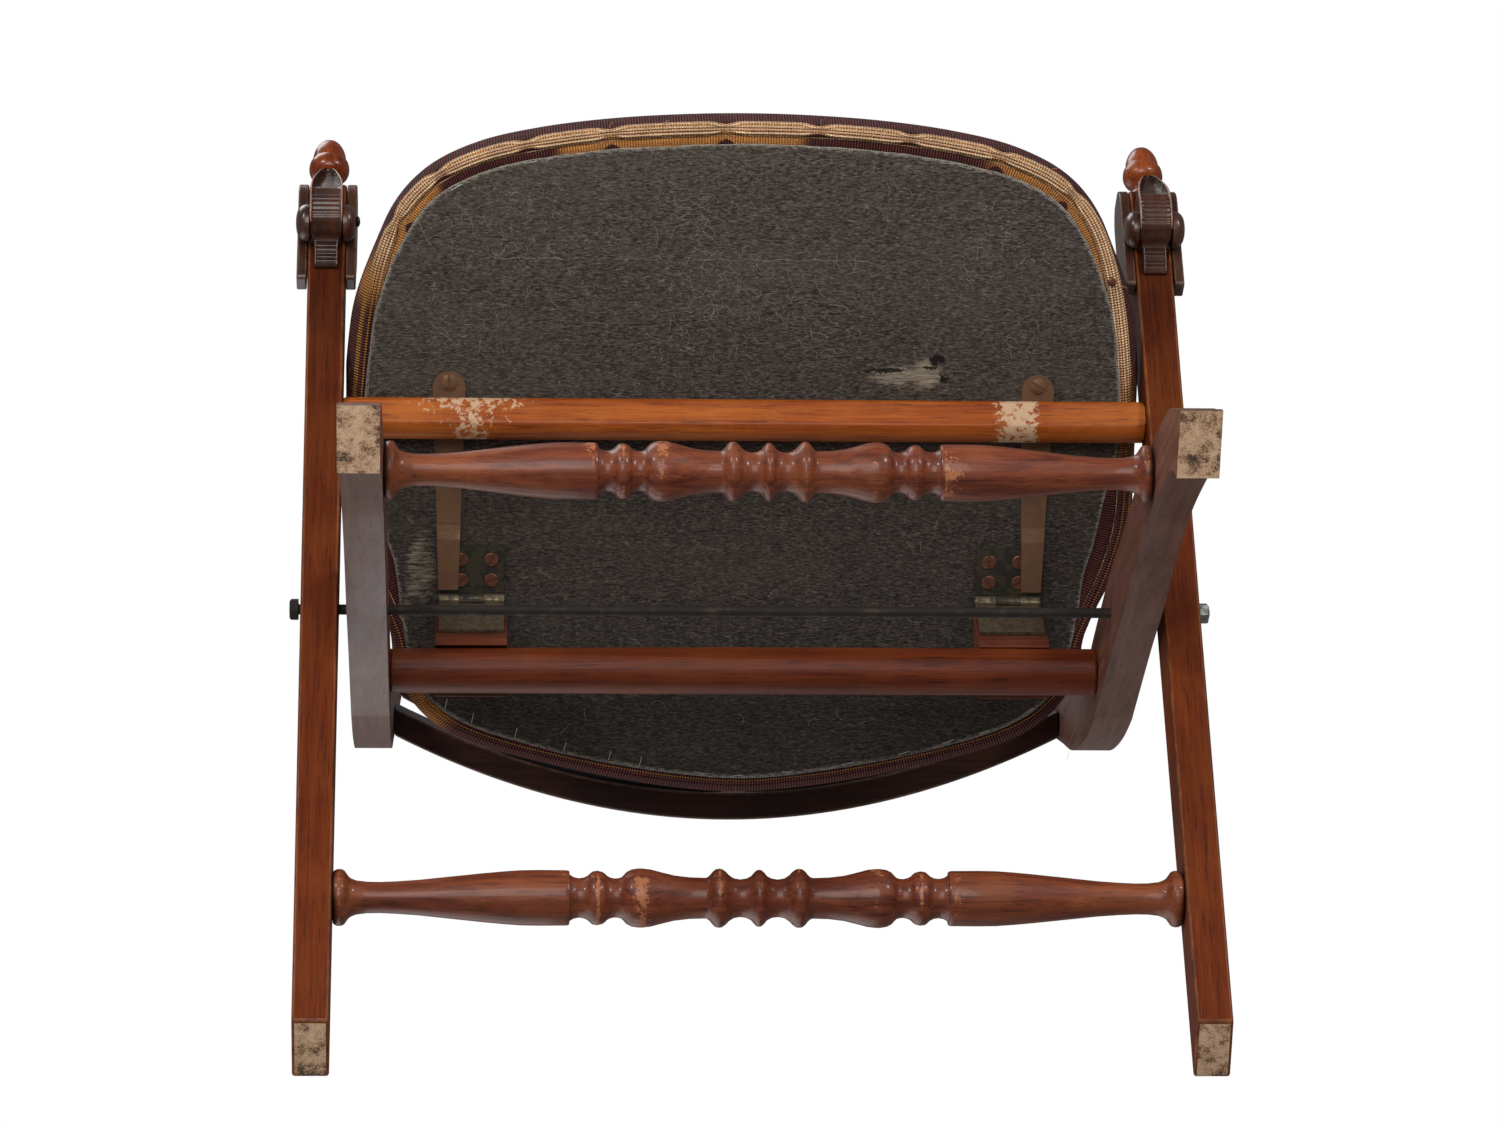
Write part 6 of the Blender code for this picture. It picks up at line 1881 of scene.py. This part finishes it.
    def dust_cover(self) -> bpy.types.Object:
        """Build the cambric sheet that is stapled over the turned cover."""
        lay = self.layout
        count = len(self.line)
        middle = (self.rear - self.front) / 2
        steps = (0.0, 0.4, 1.0, 1.9, 3.0, 4.5, 6.5, 9.0, 12.0)
        rings, marks = [], []
        shrinks = [0.985 * (k / 48) ** 0.92 for k in range(1, 49)]
        for step in range(len(steps) + len(shrinks)):
            ring = []
            for i in range(count):
                cut = self.dust_edge(i)
                if step < len(steps):
                    inset = cut + steps[step] * MM
                    base = self.inset_point(i, inset)
                    x, y = base.x, base.y
                    edge = max(0.0, 1 - steps[step] / 3)
                else:
                    inset = cut + steps[-1] * MM
                    base = self.inset_point(i, inset)
                    shrink = shrinks[step - len(steps)]
                    x, y = mix(base.x, 0.0, shrink), mix(base.y, middle, shrink)
                    inset += shrink * 0.2
                    edge = 0.0
                height = min(self.cloth_up, self.lip_height(inset) - self.hug)
                worn = self.spot(x, y, self.wear_spots)
                ripple = noise.noise(Vector((x * 40, y * 55, 0.0)))
                pucker = noise.noise(Vector((x * 210, y * 210, 4.0)))
                slack = 0.12 * ripple - 0.5 * worn * (0.4 + pucker)
                curl = -0.25 * max(0.0, 1 - (step / 3)) * max(
                    0.0, noise.noise(Vector((self.arcs[i] * 55, 9.5, 0.2))))
                ring.append(lay.on_seat(x, y, height + (slack + curl) * MM))
                marks.append(edge)
            rings.append(ring)
        verts, faces = loft(rings, cap=False)
        last = (len(rings) - 1) * count
        faces.append(tuple(range(last, last + count)))
        made = self.shop.piece("cambric_cover", (verts, faces), self.shop.finishes.cambric,
                               Body.SEAT, ["dust_cover"], "cover_cloth", sharp=80.0)
        mark(made, "edge", marks)
        solid = made.modifiers.new("cloth", "SOLIDIFY")
        solid.thickness = 0.3 * MM
        solid.offset = 0.0
        edge = [self.inset_point(i, self.dust_edge(i)) for i in range(count)]
        return made

    def staple(self, middle: Vector, way: Vector, up: float, half: float) -> Mesh:
        """Return one staple whose crown lies on the cloth and whose legs go in."""
        ends = [middle - way * half, middle + way * half]
        path = [self.layout.on_seat(ends[0].x, ends[0].y, up + 1.2 * MM)]
        path += [self.layout.on_seat(p.x, p.y, up)
                 for p in (ends[0] * 0.97 + ends[1] * 0.03, middle,
                           ends[1] * 0.97 + ends[0] * 0.03)]
        path.append(self.layout.on_seat(ends[1].x, ends[1].y, up + 1.2 * MM))
        return tube(path, 0.28 * MM, 6)

    def staples(self) -> None:
        """Add the wire staples: across the edge at the left rear, and elsewhere along it."""
        rng = random.Random(self.seed)
        wires = []
        for places, across in ((self.rear_staples, True), (self.edge_staples, False)):
            for x, y in places:
                i = self.nearest(x, y)
                inside = (4.4 if across else 1.5) * MM + rng.uniform(-0.3, 0.6) * MM
                inset = self.dust_edge(i) + inside
                middle = self.inset_point(i, inset)
                along = self.tangent(i)
                if across:
                    way = Vector((0.26 + rng.uniform(-0.06, 0.06), -0.96)).normalized()
                else:
                    turn = rng.uniform(-0.12, 0.12)
                    way = Vector((along.x * math.cos(turn) - along.y * math.sin(turn),
                                  along.x * math.sin(turn) + along.y * math.cos(turn)))
                up = min(self.cloth_up, self.lip_height(inset) - self.hug) - 0.42 * MM
                wires.append(self.staple(middle, way, up, (3.1 if across else 3.7) * MM))
        self.shop.piece("staples", joined(wires), self.shop.finishes.staple, Body.SEAT)

    def hair(self, rng: random.Random, x: float, y: float, turn: float, bend: float,
             length: float, up: float, radius: float) -> Mesh:
        """Return one curled fibre that lies at a height."""
        path = []
        for step in range(8):
            angle = turn + bend * (step / 7 - 0.5) + rng.uniform(-0.25, 0.25)
            x += math.cos(angle) * length / 7
            y += math.sin(angle) * length / 7
            path.append(self.layout.on_seat(x, y, up))
        return tube(path, radius, 3)

    def lint(self) -> None:
        """Add fibres that cling to the dust cover, a fold line and a few loose threads."""
        rng = random.Random(self.seed + 4)
        hairs = []
        tangles = [(rng.uniform(-0.19, 0.17), rng.uniform(-0.262, -0.14)) for _ in range(18)]
        while len(hairs) < 460:
            x, y = rng.uniform(-0.2, 0.2), rng.uniform(-0.262, 0.095)
            if rng.random() < 0.6:
                x, y = (rng.gauss(middle, 14 * MM) for middle in rng.choice(tangles))
            elif rng.random() < 0.45 * smooth_step(y, -0.24, -0.08):
                continue
            i = self.nearest(x, y)
            if (abs(x) > 0.13 and -0.15 < y < 0.02) or (
                    self.line[i] - Vector((x, y))).length < 0.024:
                continue
            hairs.append(self.hair(rng, x, y, rng.uniform(0, math.tau), rng.uniform(-2.5, 2.5),
                                   rng.uniform(3, 12) * MM, 3.62 * MM, 0.07 * MM))
        hairs.append(self.hair(rng, -0.187, -0.236, 1.35, -1.1, 0.023, 3.6 * MM, 0.09 * MM))
        for start, length in ((-0.142, 0.09), (-0.03, 0.1)):
            path = [self.layout.on_seat(start + length * k / 20,
                                        -0.2045 + 0.0006 * math.sin(k * 1.7), 3.66 * MM)
                    for k in range(21)]
            hairs.append(tube(path, 0.06 * MM, 3))
        self.shop.piece("lint_hairs", joined(hairs), self.shop.finishes.lint, Body.SEAT)
        threads = []
        for x, y, turn in ((-0.212, -0.226, 2.4), (-0.2, -0.24, 3.9), (-0.079, -0.282, 4.9),
                           (0.042, -0.284, 4.4), (0.17, -0.25, 5.6), (0.212, -0.19, 0.2),
                           (-0.05, -0.285, 5.4)):
            i = self.nearest(x, y)
            base = self.inset_point(i, 3.0 * MM)
            threads.append(self.hair(rng, base.x, base.y, turn, 1.2, 6 * MM, 2.9 * MM,
                                     0.22 * MM))
        self.shop.piece("loose_threads", joined(threads), self.shop.finishes.thread, Body.SEAT)
        i = self.nearest(0.205, -0.193)
        seat = self.inset_point(i, 5.0 * MM)
        dome = lathe([(0.0, 0.0), (0.0, 2.6 * MM), (0.5 * MM, 2.5 * MM), (0.9 * MM, 1.9 * MM),
                      (1.15 * MM, 1.0 * MM), (1.2 * MM, 0.0)],
                     self.layout.on_seat(seat.x, seat.y, 3.0 * MM), -self.layout.seat_up, 24)
        self.shop.piece("copper_tack", dome, self.shop.finishes.tack, Body.SEAT)

    def build(self) -> None:
        """Build and dress the whole seat."""
        self.cushion()
        self.dust_cover()
        self.staples()
        self.lint()
        self.shop.dress("seat_board", self.shop.finishes.board)


# ---------------------------------------------------------------- studio


@dataclass
class Studio:
    """Pale floor, white surroundings, two soft boxes in front and the camera below.

    The photograph was taken from below, so the floor shows only from above and casts no
    shadow. The camera sees white surroundings; what they send the chair is weaker, as a
    dark room's walls are, so that the shellac keeps its depth.
    """

    layout: Layout
    focal_px: float = 5463.5
    yaw: float = 2.92
    pitch: float = 22.25
    roll: float = 0.29
    place: tuple = (-0.1572, -0.9772, -2.5960)
    frame_px: int = 1500
    sensor: float = 36.0
    room_light: float = 0.16

    def camera(self) -> None:
        """Add the camera at the photograph's viewing angle."""
        yaw, pitch, roll = (math.radians(a) for a in (self.yaw, self.pitch, self.roll))
        ahead = Vector((0.0, math.sin(pitch), math.cos(pitch)))
        top = Vector((0.0, -math.cos(pitch), math.sin(pitch)))
        right = Vector((1.0, 0.0, 0.0))
        look = ahead * math.cos(yaw) + right * math.sin(yaw)
        across = right * math.cos(yaw) - ahead * math.sin(yaw)
        rolled = across * math.cos(roll) + top * math.sin(roll)
        upright = top * math.cos(roll) - across * math.sin(roll)
        data = bpy.data.cameras.new("camera")
        data.sensor_width = self.sensor
        data.lens = self.focal_px * self.sensor / self.frame_px
        data.clip_end = 50.0
        made = bpy.data.objects.new("camera", data)
        bpy.context.scene.collection.objects.link(made)
        spot = Vector(self.place) + Vector((0.0, self.layout.toe_y, 0.0))
        rows = [(rolled[k], upright[k], -look[k], spot[k]) for k in range(3)]
        made.matrix_world = Matrix((*rows, (0.0, 0.0, 0.0, 1.0)))
        bpy.context.scene.camera = made

    def light(self, name: str, place: Vector, aim: Vector, size: float, power: float) -> None:
        """Add one soft square light that looks at a point."""
        data = bpy.data.lights.new(name, "AREA")
        data.shape = "SQUARE"
        data.size = size
        data.energy = power
        made = bpy.data.objects.new(name, data)
        bpy.context.scene.collection.objects.link(made)
        made.visible_camera = False
        made.location = place
        made.rotation_euler = (aim - place).to_track_quat("-Z", "Y").to_euler()

    def floor(self) -> None:
        """Add the pale floor, seen only from above and fading out into the white."""
        half = 3.0
        data = bpy.data.meshes.new("studio_floor")
        data.from_pydata([(-half, -half, 0), (half, -half, 0), (half, half, 0), (-half, half, 0)],
                         [], [(0, 1, 2, 3)])
        material, tree, shader = new_material("pale_floor")
        set_inputs(tree, shader, {"Base Color": srgb("E9E8E6"), "Roughness": 0.8})
        side = add_node(tree, "ShaderNodeNewGeometry")
        place = add_node(tree, "ShaderNodeTexCoord")
        away = add_node(tree, "ShaderNodeVectorMath", {"operation": "LENGTH"},
                        {0: place.outputs["Object"]})
        fade = add_node(tree, "ShaderNodeMapRange", {"interpolation_type": "SMOOTHSTEP"},
                        {"Value": away.outputs["Value"], "From Min": 0.8, "From Max": half})
        gone = add_node(tree, "ShaderNodeMath", {"operation": "MAXIMUM"},
                        {0: side.outputs["Backfacing"], 1: fade.outputs[0]})
        clear = add_node(tree, "ShaderNodeBsdfTransparent")
        both = add_node(tree, "ShaderNodeMixShader", None,
                        {0: gone.outputs[0], 1: shader.outputs[0], 2: clear.outputs[0]})
        tree.links.new(both.outputs[0], tree.nodes["Material Output"].inputs["Surface"])
        data.materials.append(material)
        made = bpy.data.objects.new("studio_floor", data)
        bpy.context.scene.collection.objects.link(made)
        made.location.z = -0.0006
        made.visible_shadow = False
        made.visible_diffuse = False
        made.visible_glossy = False

    def surroundings(self) -> None:
        """Make the surroundings white to the camera and weaker as a light."""
        world = bpy.data.worlds.new("studio")
        bpy.context.scene.world = world
        world.use_nodes = True
        tree = world.node_tree
        path = add_node(tree, "ShaderNodeLightPath")
        strength = add_node(tree, "ShaderNodeMapRange", None,
                            {"Value": path.outputs["Is Camera Ray"],
                             "To Min": self.room_light, "To Max": 1.0})
        set_inputs(tree, tree.nodes["Background"],
                   {"Color": (1.0, 1.0, 1.0, 1.0), "Strength": strength.outputs[0]})

    def build(self) -> None:
        """Build the studio."""
        bpy.context.scene.view_settings.view_transform = "Standard"
        self.surroundings()
        self.camera()
        self.floor()
        centre = Vector((0.0, 0.0, 0.3))
        for name, place, size, power in (
                ("soft_box_left", (-1.5, -2.0, -0.23), 0.42, 17.5),
                ("soft_box_right", (1.5, -2.0, -0.23), 0.42, 17.5),
                ("soft_box_below", (-0.3, -1.6, -1.3), 1.2, 22.0),
                ("soft_box_above", (-1.2, -1.2, 2.6), 1.4, 26.0),
                ("white_sweep", (-1.15, 2.3, 0.2), 2.6, 31.0)):
            self.light(name, Vector(place), centre, size, power)


def main() -> None:
    """Build the chair's looks, then the studio around it."""
    logging.basicConfig(level=logging.INFO, format="%(name)s: %(message)s")
    layout = Layout()
    shop = Shop(Finishes())
    legs = CrossLegs(layout, shop)
    for part in (Rails(layout, shop), BackLegs(layout, shop), BackRails(layout, shop), legs,
                 ArmTops(layout, shop, legs), Ironwork(layout, shop), Upholstery(layout, shop)):
        LOG.info("building %s", type(part).__name__)
        part.build()
    Studio(layout).build()


if __name__ == "__main__":
    main()
